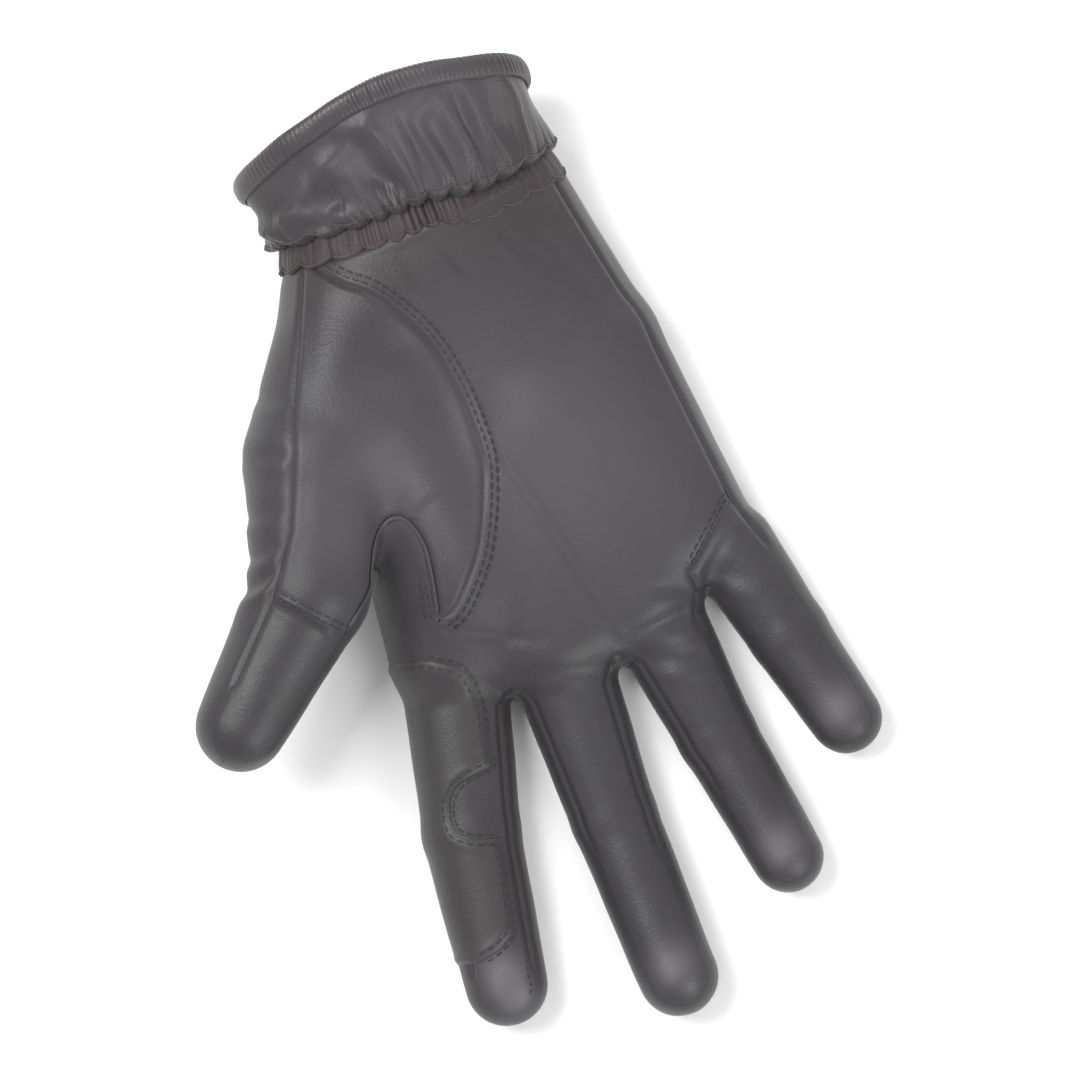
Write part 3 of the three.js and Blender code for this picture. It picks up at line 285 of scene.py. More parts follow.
def cast(start, way, reach=80.0):
    """Where straight ways first meet the form: steps as long as the distance that is left, either from
    outside or from inside. Ways that meet nothing give their start, laid on the form."""
    start, way = np.broadcast_arrays(start, way)
    side = np.sign(form(start))
    travel = np.zeros(start.shape[:-1])
    for _ in range(cast_rounds):
        travel = np.minimum(travel + cast_stride * side * form(start + way * travel[..., None]), reach)
    hit = start + way * travel[..., None]
    missed = (travel >= reach - 1e-6) | (np.abs(form(hit)) > cast_slack)
    spare = settle(start * np.array([1, 1, 0]) + np.array([0, 0, palm_depth / 2]), 12)
    return np.where(missed[..., None], spare, hit)


def on_top(xy):
    """The form's upper side over places on the floor."""
    xy = np.asarray(xy, float)
    return cast(np.concatenate([xy, np.full((*xy.shape[:-1], 1), above_hand)], -1), np.array([0, 0, -1.0]))


def on_bottom(xy):
    """The form's underside over places on the floor."""
    xy = np.asarray(xy, float)
    return cast(np.concatenate([xy, np.full((*xy.shape[:-1], 1), below_floor)], -1), np.array([0, 0, 1.0]))


def half_width(points, side):
    """How far the form reaches sideways from points inside it."""
    way = np.array([*side, 0.0])
    return np.linalg.norm(cast(points, way, 60) - points, axis=-1)


def smooth_line(points, shares):
    """A centripetal Catmull-Rom curve through the points, at shares of its length."""
    points = np.asarray(points, float)
    padded = np.vstack([2 * points[0] - points[1], points, 2 * points[-1] - points[-2]])

    def at(u):
        i = np.clip(u.astype(int), 0, len(points) - 2)
        w = (u - i)[:, None]
        p0, p1, p2, p3 = knots = [padded[i + k] for k in range(4)]
        gaps = [((b - a) ** 2).sum(-1) for a, b in zip(knots, knots[1:])]
        d0, d1, d2 = (np.maximum(gap ** 0.25, 1e-4)[:, None] for gap in gaps)
        t1 = ((p1 - p0) / d0 - (p2 - p0) / (d0 + d1) + (p2 - p1) / d1) * d1
        t2 = ((p2 - p1) / d1 - (p3 - p1) / (d1 + d2) + (p3 - p2) / d2) * d1
        return p1 + t1 * w + (-3 * p1 + 3 * p2 - 2 * t1 - t2) * w ** 2 + (2 * p1 - 2 * p2 + t1 + t2) * w ** 3

    u = np.linspace(0, len(points) - 1, 200 * (len(points) - 1) + 1)
    line = at(u)
    run = run_along(line)
    return at(np.interp(np.clip(shares, 0, 1) * run[-1], run, u))


def sample(points, count, shift):
    """Count + 1 even places on a smooth line, moved to the left of its way by shift."""
    share = np.linspace(0, 1, count + 1)
    way = unit(smooth_line(points, share + 0.01) - smooth_line(points, share - 0.01))
    return smooth_line(points, share) + np.stack([-way[:, 1], way[:, 0]], -1) * shift


def places(table):
    """Rows of (share of the breadth, share of the length) as places on the palm."""
    return np.array(table) * np.array([palm_breadth, palm_length])


# how finely a panel is laid: rows from wrist to crotches, gusset's point, web's crown, little finger
palm_rows, point_row, crown_row, seam_row = 128, 96, 72, 120
arc_rows, leg_rows, tip_rows = 10, 70, 14
wide, side_cols, back_wide, wall_cols = 24, 18, 18, 14
finger_rows = arc_rows + leg_rows
tip_turn = np.linspace(0, np.pi / 2, tip_rows + 1)[1:, None]


def apex(i, inset):
    """The place inside the crotch after finger i, at the inset from where the outline turns."""
    a, b = fingers[i], fingers[i + 1]
    way = (a.way + b.way) / np.linalg.norm(a.way + b.way)
    start = (a.nodes[0] + b.nodes[0]) / 2 + np.array([*(-12 * way), 1])
    hit = cast(start[None], np.array([*way, 0.0]))[0, :2]
    return hit - way * inset, way


def finger_seam(i, side, inset):
    """A finger's seam on one side: round the crotch in a quarter arc, along the finger at the inset from its
    outline, and round its tip."""
    finger = fingers[i]
    crotch = i - 1 if side < 0 else i
    own = 0 <= crotch <= 2
    corner, way = apex(min(max(crotch, 0), 2), inset)
    start = (corner - finger.root) @ finger.way / finger.reach
    bend = 5.0 / finger.reach
    turn = np.linspace(0, np.pi / 2, arc_rows + 1)
    leg_share = np.linspace(0, 1, leg_rows + 1)[1:]
    share = np.concatenate([start + bend * (1 - np.cos(turn)), mix(start + bend, 1, leg_share)])
    middle, radius = finger.at(share)
    out = finger.side * side
    sideways = np.minimum(half_width(middle, out), radius * 1.12) - inset
    line = middle[:, :2] + out * sideways[:, None]
    if own:
        blend = np.concatenate([np.sin(turn), np.ones(leg_rows)])[:, None]
        centre = corner + way * ((share - start) * finger.reach)[:, None]
        line = mix(centre, line, blend)
    rim = finger.radii[2] - inset * 0.9
    tip = finger.nodes[2, :2] + rim * (out * np.cos(tip_turn) + finger.way * np.sin(tip_turn))
    return np.concatenate([line, tip])


def finger_out(i, side):
    """The way out of the finger at each row of its seam."""
    finger = fingers[i]
    out = np.tile(finger.side * side, (finger_rows + 1, 1))
    crotch = i - 1 if side < 0 else i
    if 0 <= crotch <= 2:
        share = np.sin(np.linspace(0, np.pi / 2, arc_rows + 1))[:, None]
        out[:arc_rows + 1] = mix(apex(crotch, 0)[1], out[:arc_rows + 1], share)
    return np.concatenate([out, finger.side * side * np.cos(tip_turn) + finger.way * np.sin(tip_turn)])


def band_line(x):
    """Where the palm ends at the gathered band."""
    w = (x - wrist_mid) / (wrist_width / 2)
    return palm_length - 0.8 + wrist_rise * w * w + wrist_skew * w


def at_wrist(x, off):
    """A place off the band's line, towards the fingers where off is below 0."""
    return np.array([x, band_line(x) + off])


point_share = 0.83
past_point = np.linspace(point_share, 1, palm_rows - point_row + 1)[1:]
row_share = np.concatenate([np.linspace(0, point_share, point_row + 1), past_point])


def palm_line(i, inset, off):
    """A line from the wrist to the crotch after finger i, bowed to clear the gusset."""
    wrist_end = at_wrist((-0.02, 0.11, 0.205)[i] * palm_breadth, off)
    crotch_end = apex(i, inset)[0]
    share = row_share
    bow = (0.085, 0.035, 0.01)[i] * palm_breadth
    across = mix(wrist_end[0], crotch_end[0], share) + bow * 4 * share * (1 - share)
    return np.stack([across, mix(wrist_end[1], crotch_end[1], share)], -1)


def ulnar_line(inset, off):
    """The little finger's side of the palm, just inside the outline."""
    end = finger_seam(3, 1, inset)[0]
    share = np.arange(seam_row + 1) / seam_row
    y = mix(palm_length + wrist_rise, 0.163 * palm_length, share)
    height = resting(palm_depth * 0.5, 2 + 5 * (1 - share))
    middle = np.stack([np.full_like(y, 0.15 * palm_breadth), y, height], -1)
    line = np.stack([middle[:, 0] + half_width(middle, (1, 0)) - inset, y], -1)
    line[0] = at_wrist(line[0, 0], off)
    rest = mix(line[-1], end, np.linspace(0, 1, palm_rows - seam_row + 1)[1:, None])
    return np.concatenate([line, rest])


gusset_seam = places([
    (-0.345, 0.99), (-0.29, 0.933), (-0.235, 0.892), (-0.18, 0.825), (-0.134, 0.737), (-0.11, 0.63),
    (-0.104, 0.542), (-0.107, 0.445), (-0.138, 0.357), (-0.194, 0.253), (-0.244, 0.195), (-0.305, 0.142),
    (-0.352, 0.128)])
point = gusset_seam[-1]


def index_side(inset):
    """The index finger's side of the palm, from the gusset's point to the finger."""
    end = finger_seam(0, -1, inset)[0]
    share = np.linspace(0, 1, palm_rows - point_row + 1)
    y = mix(point[1] - half, end[1], share)
    height = np.full_like(y, resting(palm_depth * 0.5, 1))
    middle = np.stack([np.full_like(y, -0.33 * palm_breadth), y, height], -1)
    line = np.stack([middle[:, 0] - half_width(middle, (-1, 0)) + inset, y], -1)
    line[-1] = end
    return line


def spaced(cols):
    """Shares closer together at both ends, where the seams roll in."""
    share = np.linspace(0, 1, cols + 1)
    return mix(share, 0.5 - 0.5 * np.cos(np.pi * share), 0.9)


def strip(one, two, cols, place):
    """A grid between two lines of places, laid on the form."""
    share = spaced(cols)[None, :, None]
    return place(mix(one[:, None], two[:, None], share))


def flush(grid):
    """The first row of a panel ends along the band's line."""
    grid[0, :, 1] = band_line(grid[0, :, 0]) - half
    return grid


def round_side(start, end, outward, cols, first=0.0, last=1.0):
    """A grid round a side from one line to another, bulging outwards by the seam's inset."""
    share = mix(np.asarray(first, float)[..., None], np.asarray(last, float)[..., None], spaced(cols))
    share = np.broadcast_to(share, (len(start), cols + 1))[..., None]
    push = np.concatenate([outward, np.zeros((len(outward), 1))], -1)[:, None]
    return settle(mix(start[:, None], end[:, None], share) + push * seam_inset * np.sin(np.pi * share))


def fan(middle, start, end, via, cols):
    """A grid round a line of middles: ways turn from start by way of via to end, each cast to the form."""
    def between(p, q):
        return np.arccos(np.clip((p * q).sum(-1), -1, 1))

    def turned(p, q, angle, t):
        s = np.maximum(np.sin(angle), 1e-6)[..., None]
        return (np.sin((1 - t) * angle[..., None]) * p + np.sin(t * angle[..., None]) * q) / s

    a, b, c = unit(start - middle), unit(via), unit(end - middle)
    ab, bc = between(a, b), between(b, c)
    s = spaced(cols) * (ab + bc)[:, None]
    t1 = np.clip(s / np.maximum(ab, 1e-6)[:, None], 0, 1)[..., None]
    t2 = np.clip((s - ab[:, None]) / np.maximum(bc, 1e-6)[:, None], 0, 1)[..., None]
    a, b, c = (np.broadcast_to(v[:, None], (*s.shape, 3)) for v in (a, b, c))
    ab, bc = (np.broadcast_to(v[:, None], s.shape) for v in (ab, bc))
    way = unit(np.where((s < ab)[..., None], turned(a, b, ab, t1), turned(b, c, bc, t2)))
    grid = cast(np.broadcast_to(middle[:, None], way.shape), way)
    grid[:, 0], grid[:, -1] = start, end
    return grid


def nearest(points, marks):
    """Distance from each point to the nearest mark, from whole blocks of the table of squared distances."""
    found = np.empty(len(points))
    marks_squared = (marks * marks).sum(-1)
    for block in np.array_split(np.arange(len(points)), max(1, len(points) // 4000)):
        part = points[block]
        table = (part * part).sum(-1)[:, None] - 2 * part @ marks.T + marks_squared
        found[block] = np.sqrt(np.maximum(table.min(-1), 0))
    return found


weld_distance = 0.004


def welded(grids):
    """Grids as one sheet of triangles: corners that coincide are made one, and every grid looks outwards."""
    corners, faces, base = [], [], 0
    for grid in grids:
        rows, cols = grid.shape[:2]
        numbers = base + np.arange(rows * cols).reshape(rows, cols)
        a, b, c, d = numbers[:-1, :-1], numbers[:-1, 1:], numbers[1:, :-1], numbers[1:, 1:]
        quads = np.stack([a, b, d, a, d, c], -1).reshape(-1, 3)
        points = grid.reshape(-1, 3)
        own = quads - base
        normal = np.cross(points[own[:, 1]] - points[own[:, 0]], points[own[:, 2]] - points[own[:, 0]])
        if (normal * slope(points[own[:, 0]])).sum() < 0:
            quads = quads[:, ::-1]
        corners.append(points)
        faces.append(quads)
        base += rows * cols
    points, faces = np.concatenate(corners), np.concatenate(faces)
    cells = np.round(points / weld_distance).astype(np.int64)
    _, first, same = np.unique(cells, axis=0, return_index=True, return_inverse=True)
    faces = same.reshape(-1)[faces]
    proper = (faces[:, 0] != faces[:, 1]) & (faces[:, 1] != faces[:, 2]) & (faces[:, 2] != faces[:, 0])
    return points[first], faces[proper]


def free_edges(faces):
    """The sheet's edges that only one triangle has, in that triangle's way."""
    edges = np.concatenate([faces[:, [0, 1]], faces[:, [1, 2]], faces[:, [2, 0]]])
    count = faces.max() + 1
    lone = ~np.isin(edges[:, 0] * count + edges[:, 1], edges[:, 1] * count + edges[:, 0])
    return edges[lone]


def crease(points, start, end, depth, spread, lift=0.0):
    """A fold in the leather along a straight line seen from above: deepest at its middle, with a low ridge
    beside it where lift isn't 0."""
    start, end = np.array(start, float), np.array(end, float)
    way = end - start
    share = np.clip(((points[:, :2] - start) @ way) / (way @ way), 0, 1)
    off = points[:, :2] - start - way * share[:, None]
    distance = np.linalg.norm(off, axis=-1)
    side = off[:, 0] * way[1] - off[:, 1] * way[0]
    fade = np.sin(np.pi * np.clip(share, 0.04, 0.96)) ** 0.7
    beside = np.exp(-((distance - 1.8 * spread) / spread) ** 2) * (side > 0)
    return fade * (lift * beside - depth * np.exp(-(distance / spread) ** 2))


# places in the hand's axes: start, end, depth, spread, ridge beside it
palm_creases = [
    ((-31, 10), (-12, 1), 0.35, 1.5, 0.2),
    ((-7, 52), (7, -4), -0.75, 1.5, 0.0),
    ((8, -6), (29, -4), 0.7, 2.0, 0.5),
    ((11, -13), (28, -16), 0.45, 2.2, 0.3),
    ((16, 4), (30, -1), 0.3, 1.8, 0.2),
    ((-20, -5), (-1, -10), 0.35, 1.7, 0.2),
    ((30, 4), (44, -4), 0.3, 2.4, 0.25),
    ((24, 96), (33, 70), 0.35, 2.4, 0.25),
    ((34, 88), (40, 58), 0.28, 2.2, 0.2),
    ((12, 98), (20, 84), 0.3, 1.6, 0.2),
    ((-2, 98), (2, 88), 0.3, 1.3, 0.2),
    ((-12, 97), (-9, 88), 0.25, 1.2, 0.2),
    ((-9, 60), (-6, 38), 0.25, 2.6, 0.2),
    ((-32, 41), (-19, 45), 0.4, 1.3, 0.25),
    ((40, 26), (30, 14), 0.25, 2.0, 0.2),
]


def skin_relief(points):
    """How far the leather stands off the form: unevenness from a few slow waves, and the creases."""
    x, y, z = (points / 10).T
    waves = 0.10 * np.sin(1.7 * x + 0.9 * y + 0.6) * np.sin(0.8 * y - 1.3 * z + 1.1)
    waves += 0.07 * np.sin(2.9 * x - 1.9 * y + 2.0 * z) * np.sin(2.2 * y + 1.1 * x)
    above = ease((slope(points)[:, 2] + 0.1) * 2)
    folds = sum(crease(points, *row) for row in palm_creases)
    return waves + folds * above


# share of the finger's length past which its seam doesn't show: on its thumb side, on its other side
seam_ends = [(9.0, 0.9), (0.45, 0.5), (0.55, -9.0), (-9.0, -9.0)]


def unseen(points):
    """1 where two panels meet without a visible groove: under the hollow of the thumb, round the fingertips
    and along the sides where the seam has sunk in, from smooth steps along and across every finger."""
    total = ease((-31.5 - points[:, 0]) / 2) * ease((points[:, 1] - 3) / 2) * ease((17 - points[:, 1]) / 2)
    for finger, ends in zip(fingers, seam_ends):
        offset = points[:, :2] - finger.root
        share, aside = offset @ finger.way / finger.reach, offset @ finger.side
        own = ease(share * 12 - 0.6) * (np.abs(aside) < finger.radii[0] + 2) * (points[:, 2] > 2)
        end = np.where(aside < 0, ends[0], ends[1])
        total = np.maximum(total, own * np.maximum(ease((share - end) / 0.2), ease((share - 0.93) / 0.05)))
    offset = points[:, :2] - ball[:2]
    share = offset @ thumb_way / (thumb_length - thumb_tip_r)
    aside = offset @ np.array([-thumb_way[1], thumb_way[0]])
    inner = ease((aside - 7.5) / 2) * ease((share + 0.1) * 6) * (aside < 16)
    tip = ease((share - 0.95) / 0.1) * (np.abs(aside) < 16)
    return np.maximum(total, np.maximum(inner, tip) * (points[:, 2] > 8))


# place, spread and share of the broad patches of painted light: palm, ball of the thumb, cuff
broad_painted_light = [
    ((-4.0, 48.0, 30.0), 34.0, 0.68),
    ((18.0, 30.0, 22.0), 30.0, 0.35),
    ((-40.0, 52.0, 46.0), 20.0, 0.62),
    ((-48.0, 38.0, 48.0), 9.0, 0.4),
    ((4.0, 128.0, 45.0), 20.0, 0.85),
    ((-22.0, 122.0, 38.0), 14.0, 0.75),
]


def painted_light_amount(points):
    """Painted light: a sum of bells, painted highlights on the fingertips' pads and painted lit patches on
    the broad parts.
    """
    # painted highlights: a bell on each fingertip's pad and one more on the index finger's tip
    painted_tip_highlights = [(finger.nodes[2] + np.array([*(-3 * finger.way), finger.radii[2]]), 5.5, 2.1)
             for finger in fingers]
    painted_tip_highlights.append((fingers[0].nodes[2] + np.array([1, -4, 8.0]), 5.0, 2.1))
    return sum(share * np.exp(-((points - np.array(place)) ** 2).sum(-1) / spread ** 2)
               for place, spread, share in painted_tip_highlights + broad_painted_light)


def as_object(name, points, faces, material, node):
    """A mesh in metres in the glove's frame, smooth but for its sharp rims, that rides with the glove."""
    mesh = bpy.data.meshes.new(name)
    points = np.concatenate([points[:, :2], np.maximum(points[:, 2:], 0)], -1)
    mesh.vertices.add(len(points))
    mesh.vertices.foreach_set("co", ((points + hand_place) * mm).astype(np.float32).ravel())
    sides = faces.shape[1]
    mesh.loops.add(faces.size)
    mesh.loops.foreach_set("vertex_index", faces.astype(np.int32).ravel())
    mesh.polygons.add(len(faces))
    mesh.polygons.foreach_set("loop_start", np.arange(0, faces.size, sides, dtype=np.int32))
    mesh.update(calc_edges=True)
    # a layer of painted light on every point: painted lit patches and painted highlights, read by the
    # leather's material
    painted_light = mesh.attributes.new("painted_light_amount", "FLOAT", "POINT")
    painted_light.data.foreach_set("value", painted_light_amount(points).astype(np.float32))
    mesh.shade_smooth()
    mesh.set_sharp_from_angle(angle=math.radians(55))
    mesh.materials.append(material)
    piece = bpy.data.objects.new(name, mesh)
    bpy.context.scene.collection.objects.link(piece)
    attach(piece, "root")
    if node:
        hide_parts(node)


# a panel's edge: the width over which it rolls in, the low ridge behind it, and a stitch channel
roll_width = 0.7
ridge_height, ridge_place, ridge_width = 0.16, 1.7, 0.9
channel_depth, channel_width = 0.2, 0.55


def no_lift(points):
    """A panel that lies on the form itself."""
    return np.zeros(len(points))


def panel(name, grids, material, relief=skin_relief, lift=no_lift, wall=leather, roll=0.45,
          channels=()):
    """A leather panel: the sheet of grids on the form, its edges rolled in, pressed down along its stitch
    channels, with a wall under it and a rim between the two."""
    points, faces = welded(grids)
    normals = unit(slope(points))
    rim = free_edges(faces)
    from_edge = nearest(points, np.concatenate([points[rim[:, 0]], points[rim].mean(1)]))
    ridge = ridge_height * np.exp(-((from_edge - ridge_place) / ridge_width) ** 2)
    edge = ridge - roll * np.exp(-(from_edge / roll_width) ** 2)
    if name != "index_patch":
        edge = edge * (1 - unseen(points))
    height = lift(points) + relief(points) * ease(from_edge / 3) + edge
    for line in channels:
        from_line = nearest(points, line)
        height -= channel_depth * np.exp(-(from_line / channel_width) ** 2)
    down = -normals[:, 2]
    above_floor = np.minimum(height, points[:, 2] / np.maximum(down, 0.3))
    height = np.where(down > 0.3, above_floor, height)
    outer = points + normals * height[:, None]
    inner = points + normals * (height - wall)[:, None]
    count = len(points)
    start, end = rim.T
    rim_faces = [np.stack([end, start, start + count], -1), np.stack([end, start + count, end + count], -1)]
    shell = np.concatenate([faces, faces[:, ::-1] + count, *rim_faces])
    as_object(name, np.concatenate([outer, inner]), shell, material, name)


def leather_look(name, colour, warm, roughness):
    """Dyed goat leather: a colour with warm and pale clouds and painted light, pebbled grain in the bump and
    a soft sheen.
    """
    material = bpy.data.materials.new(name)
    material.use_nodes = True
    tree = material.node_tree
    shader = tree.nodes["Principled BSDF"]

    def add(kind, entries, **settings):
        node = tree.nodes.new(kind)
        for key, value in settings.items():
            setattr(node, key, value)
        for key, value in entries.items():
            node.inputs[key].default_value = value
        return node

    place = add("ShaderNodeTexCoord", {})
    clouds = add("ShaderNodeTexNoise", {"Scale": 26.0, "Detail": 4.0, "Roughness": 0.55})
    fine = add("ShaderNodeTexNoise", {"Scale": 420.0, "Detail": 3.0, "Roughness": 0.6})
    pebbles = add("ShaderNodeTexVoronoi", {"Scale": 1500.0}, feature="SMOOTH_F1")
    pores = add("ShaderNodeTexNoise", {"Scale": 2600.0, "Detail": 2.0})
    tone = add("ShaderNodeValToRGB", {})
    for element, position, shade in zip(tone.color_ramp.elements, (0.3, 0.68), (warm, colour)):
        element.position = position
        element.color = (*shade, 1)
    speckle = add("ShaderNodeMix", {"Factor": 0.22}, data_type="RGBA", blend_type="MULTIPLY")
    split = add("ShaderNodeSeparateXYZ", {})
    wrist_end = {"From Min": 0.05, "From Max": 0.088, "To Max": 0.45}
    near_wrist = add("ShaderNodeMapRange", wrist_end, interpolation_type="SMOOTHSTEP")
    # the reddish tinge by the wrist is the leather's own; the paler colour is painted light, mixed in by the
    # mesh's layer of painted light
    reddish, painted_light = ([*(part * share for part, share in zip(colour, shares)), 1]
                     for shares in ((0.92, 0.7, 0.74), (2.6, 2.6, 2.65)))
    tinge = add("ShaderNodeMix", {7: reddish}, data_type="RGBA")
    painted_light_input = add("ShaderNodeAttribute", {}, attribute_name="painted_light_amount")
    painted_light_share = add("ShaderNodeMath", {1: 0.5}, operation="MULTIPLY")
    painted_light_mix = add("ShaderNodeMix", {7: painted_light}, data_type="RGBA")
    gloss = add("ShaderNodeMapRange", {"From Min": 0.3, "From Max": 0.7, "To Min": roughness + 0.06,
                                       "To Max": roughness - 0.06})
    relief = add("ShaderNodeMath", {1: 0.5}, operation="MULTIPLY_ADD")
    bump = add("ShaderNodeBump", {"Strength": 0.22, "Distance": 0.00025})
    soft = add("ShaderNodeBump", {"Strength": 0.05, "Distance": 0.0012})
    # a mix of colours has its two colours at 6 and 7 and gives its result at 2
    for source, output, target, entry in (
            (place, "Object", clouds, "Vector"), (place, "Object", fine, "Vector"),
            (place, "Object", pebbles, "Vector"), (place, "Object", pores, "Vector"),
            (clouds, "Fac", tone, "Fac"), (tone, "Color", speckle, 6), (fine, "Fac", speckle, 7),
            (place, "Object", split, "Vector"), (split, "Y", near_wrist, "Value"),
            (near_wrist, "Result", tinge, "Factor"), (speckle, 2, tinge, 6),
            (painted_light_input, "Fac", painted_light_share, 0), (painted_light_share, "Value", painted_light_mix, "Factor"), (tinge, 2, painted_light_mix, 6),
            (painted_light_mix, 2, shader, "Base Color"), (clouds, "Fac", gloss, "Value"),
            (gloss, "Result", shader, "Roughness"), (pores, "Fac", relief, 0),
            (pebbles, "Distance", relief, 2), (relief, "Value", bump, "Height"),
            (fine, "Fac", soft, "Height"), (bump, "Normal", soft, "Normal"),
            (soft, "Normal", shader, "Normal")):
        tree.links.new(source.outputs[output], target.inputs[entry])
    shader.inputs["Specular IOR Level"].default_value = 0.42
    shader.inputs["Sheen Weight"].default_value = 0.12
    shader.inputs["Sheen Roughness"].default_value = 0.4
    return material


palm_leather = leather_look("palm_leather", (0.034, 0.032, 0.035), (0.027, 0.024, 0.026), 0.49)

gusset_palm = sample(gusset_seam, point_row, half)
gusset_palm[0] = at_wrist(gusset_palm[0, 0] + half, -half)
inset = seam_inset + half
lines = [palm_line(i, inset, -half) for i in range(3)]
ulnar = ulnar_line(inset, -half)
side_share = side_cols / (side_cols + wide)
side_places = index_side(inset)
left = np.concatenate([gusset_palm, mix(side_places, lines[0][point_row:], side_share)[1:]])
bounds = [left, *lines, ulnar]
grids = []
for s in range(4):
    last = seam_row if s == 3 else palm_rows
    a, b = bounds[s][:last + 1].copy(), bounds[s + 1][:last + 1].copy()
    if s == 3:
        a[-1, 1] += half
        b[-1, 1] += half
    grids.append(flush(strip(a, b, wide, on_top)))
grids.append(strip(side_places, left[point_row:], side_cols, on_top))
for i in range(3):
    a, b = finger_seam(i, -1, inset), finger_seam(i, 1, inset)
    if i > 0:
        grids.append(strip(a, b, wide, on_top))
    else:
        m = mix(a, b, side_share)
        grids.append(strip(a, m, side_cols, on_top))
        grids.append(strip(m, b, wide, on_top))
stitch_steps = 260
gusset_rows = [on_top(sample(gusset_seam, stitch_steps, half + d)[6:]) for d in (1.8, 3.3)]
little_start, little_end = lines[2][seam_row], ulnar[seam_row]
little_seam = mix(little_start, little_end, np.linspace(0.02, 0.98, 60)[:, None])
little_rows = [on_top(little_seam + np.array([0, d])) for d in (1.3, 2.7)]
panel("palm", grids, palm_leather, channels=gusset_rows + little_rows)
stitch_lines = gusset_rows + little_rows
# finger, side and count of rows along which single stitches show
stitched = ((0, 1, 88), (1, -1, 48), (1, 1, 52), (2, -1, 56))
finger_stitches = [on_top(finger_seam(i, side, inset + 1.3)[:count]) for i, side, count in stitched]


# The little finger's front: a piece of its own of the same leather, sewn to the palm with two rows.
rest = slice(seam_row, palm_rows + 1)
fall = (half * (1 - np.linspace(0, 1, palm_rows - seam_row + 1)))[:, None] * np.array([0, 1.0])
a, b = lines[2][rest] + np.array([seam_gap, 0]) - fall, ulnar[rest] - fall
little = [strip(a, b, wide, on_top)]
a, b = finger_seam(3, -1, inset), finger_seam(3, 1, inset)
a[:arc_rows, 0] += seam_gap * (1 - np.arange(arc_rows) / arc_rows)
little.append(strip(a, b, wide, on_top))
panel("little_finger_front", little, palm_leather)

# The back: one piece of leather under palm and fingers. Its edge comes up round the free sides of the hand,
# and over the fingertips, and is sewn to the palm's edge.
back_leather = leather_look("back_leather", (0.032, 0.030, 0.033), (0.025, 0.022, 0.024), 0.49)
dorsal_seam = places([(-0.33, 1.0), (-0.35, 0.8), (-0.38, 0.6), (-0.41, 0.35), (-0.45, 0.115)])
low, high = back_inset + half, seam_inset - half
dorsal = sample(dorsal_seam, point_row, half)
dorsal[0] = at_wrist(dorsal[0, 0], -half)
low_side = index_side(low)
left = np.concatenate([dorsal[:-1], low_side])
ulnar = ulnar_line(low, -half)
bounds = [left, *(palm_line(i, low, -half) for i in range(3)), ulnar]
grids = [flush(strip(bounds[s], bounds[s + 1], back_wide, on_bottom)) for s in range(4)]
tip_share = np.interp(np.linspace(0, 4, tip_rows + 1), range(5), [1, 0.82, 0.58, 0.3, 0])
for i in range(4):
    a, b = finger_seam(i, -1, low), finger_seam(i, 1, low)
    grids.append(strip(a, b, back_wide, on_bottom))
    for side, lower in ((-1, a), (1, b)):
        free = (i == 0 and side < 0) or (i == 3 and side > 0)
        rows = slice(0 if free else finger_rows, None)
        start, end = on_top(finger_seam(i, side, high)[rows]), on_bottom(lower[rows])
        first = np.zeros(len(start))
        if not free:
            first = np.where(tip_share > 0, tip_share + seam_gap / np.linalg.norm(start - end, axis=-1), 0)
        grids.append(round_side(start, end, finger_out(i, side)[rows], wall_cols, np.minimum(first, 1)))
start, end = on_top(index_side(seam_inset + half - 0.02)), on_bottom(left[point_row:])
outward = np.tile(finger_out(0, -1)[0], (len(start), 1))
sides = round_side(start, end, outward, wall_cols)
middle = (start + end) / 2
middle[:, :2] = start[:, :2] + np.array([5, 0])
turned = fan(middle, start, end, np.tile([-1.0, 0, 0], (len(start), 1)), wall_cols)
blend = ease(np.arange(len(start)) / 8)[:, None, None]
radial = settle(mix(turned, sides, blend))
radial[:, 0], radial[:, -1] = start, end
grids.append(radial)
start, end = on_top(ulnar_line(high, -half)), on_bottom(ulnar)
grids.append(flush(round_side(start, end, np.tile(finger_out(3, 1)[0], (len(start), 1)), wall_cols)))
panel("back", grids, back_leather)

# The fourchettes: three strips of the same leather, each from one fingertip down the finger's side, round the
# crotch and up the next finger's side, sewn between the palm's and the back's edges.
for i, name in enumerate(("fourchette_index_middle", "fourchette_middle_ring", "fourchette_ring_little")):
    legs = []
    for f, side in ((i, 1), (i + 1, -1)):
        upper, lower = finger_seam(f, side, seam_inset - half), finger_seam(f, side, back_inset - half)
        count = finger_rows + tip_rows
        last = np.concatenate([np.ones(finger_rows), tip_share])[:count]
        start, end = on_top(upper[:count]), on_bottom(lower[:count])
        leg = round_side(start, end, finger_out(f, side)[:count], wall_cols, 0, last)
        tip = on_top(upper[-1])
        legs.append(np.concatenate([leg, np.broadcast_to(tip, (1, wall_cols + 1, 3))]))
    grid = np.concatenate([legs[0][::-1], legs[1][1:]])
    panel(name, [grid], back_leather)

# The thumb's front: the ball of the thumb down from the band, set into the palm with a double-stitched curve,
# with a free rolled edge at the web, up to the seam of the tip.
front_rows, thumb_rows = 40, 48
tip_seam = 0.17
outer_way = np.array([thumb_way[1], -thumb_way[0]])
away = -outer_way
inner_inset = 1.7
side_seam = places([(-0.372, 0.99), (-0.428, 0.87), (-0.5, 0.722), (-0.565, 0.571), (-0.624, 0.443)])
arch_right = places([(-0.352, 0.128), (-0.327, 0.247), (-0.321, 0.307), (-0.334, 0.36), (-0.352, 0.383),
                     (-0.37, 0.389)])
arch_left = places([(-0.37, 0.389), (-0.386, 0.387), (-0.414, 0.373), (-0.44, 0.344), (-0.468, 0.293),
                    (-0.49, 0.251)])
crown = arch_right[-1]
step = half / (thumb_length - thumb_tip_r)


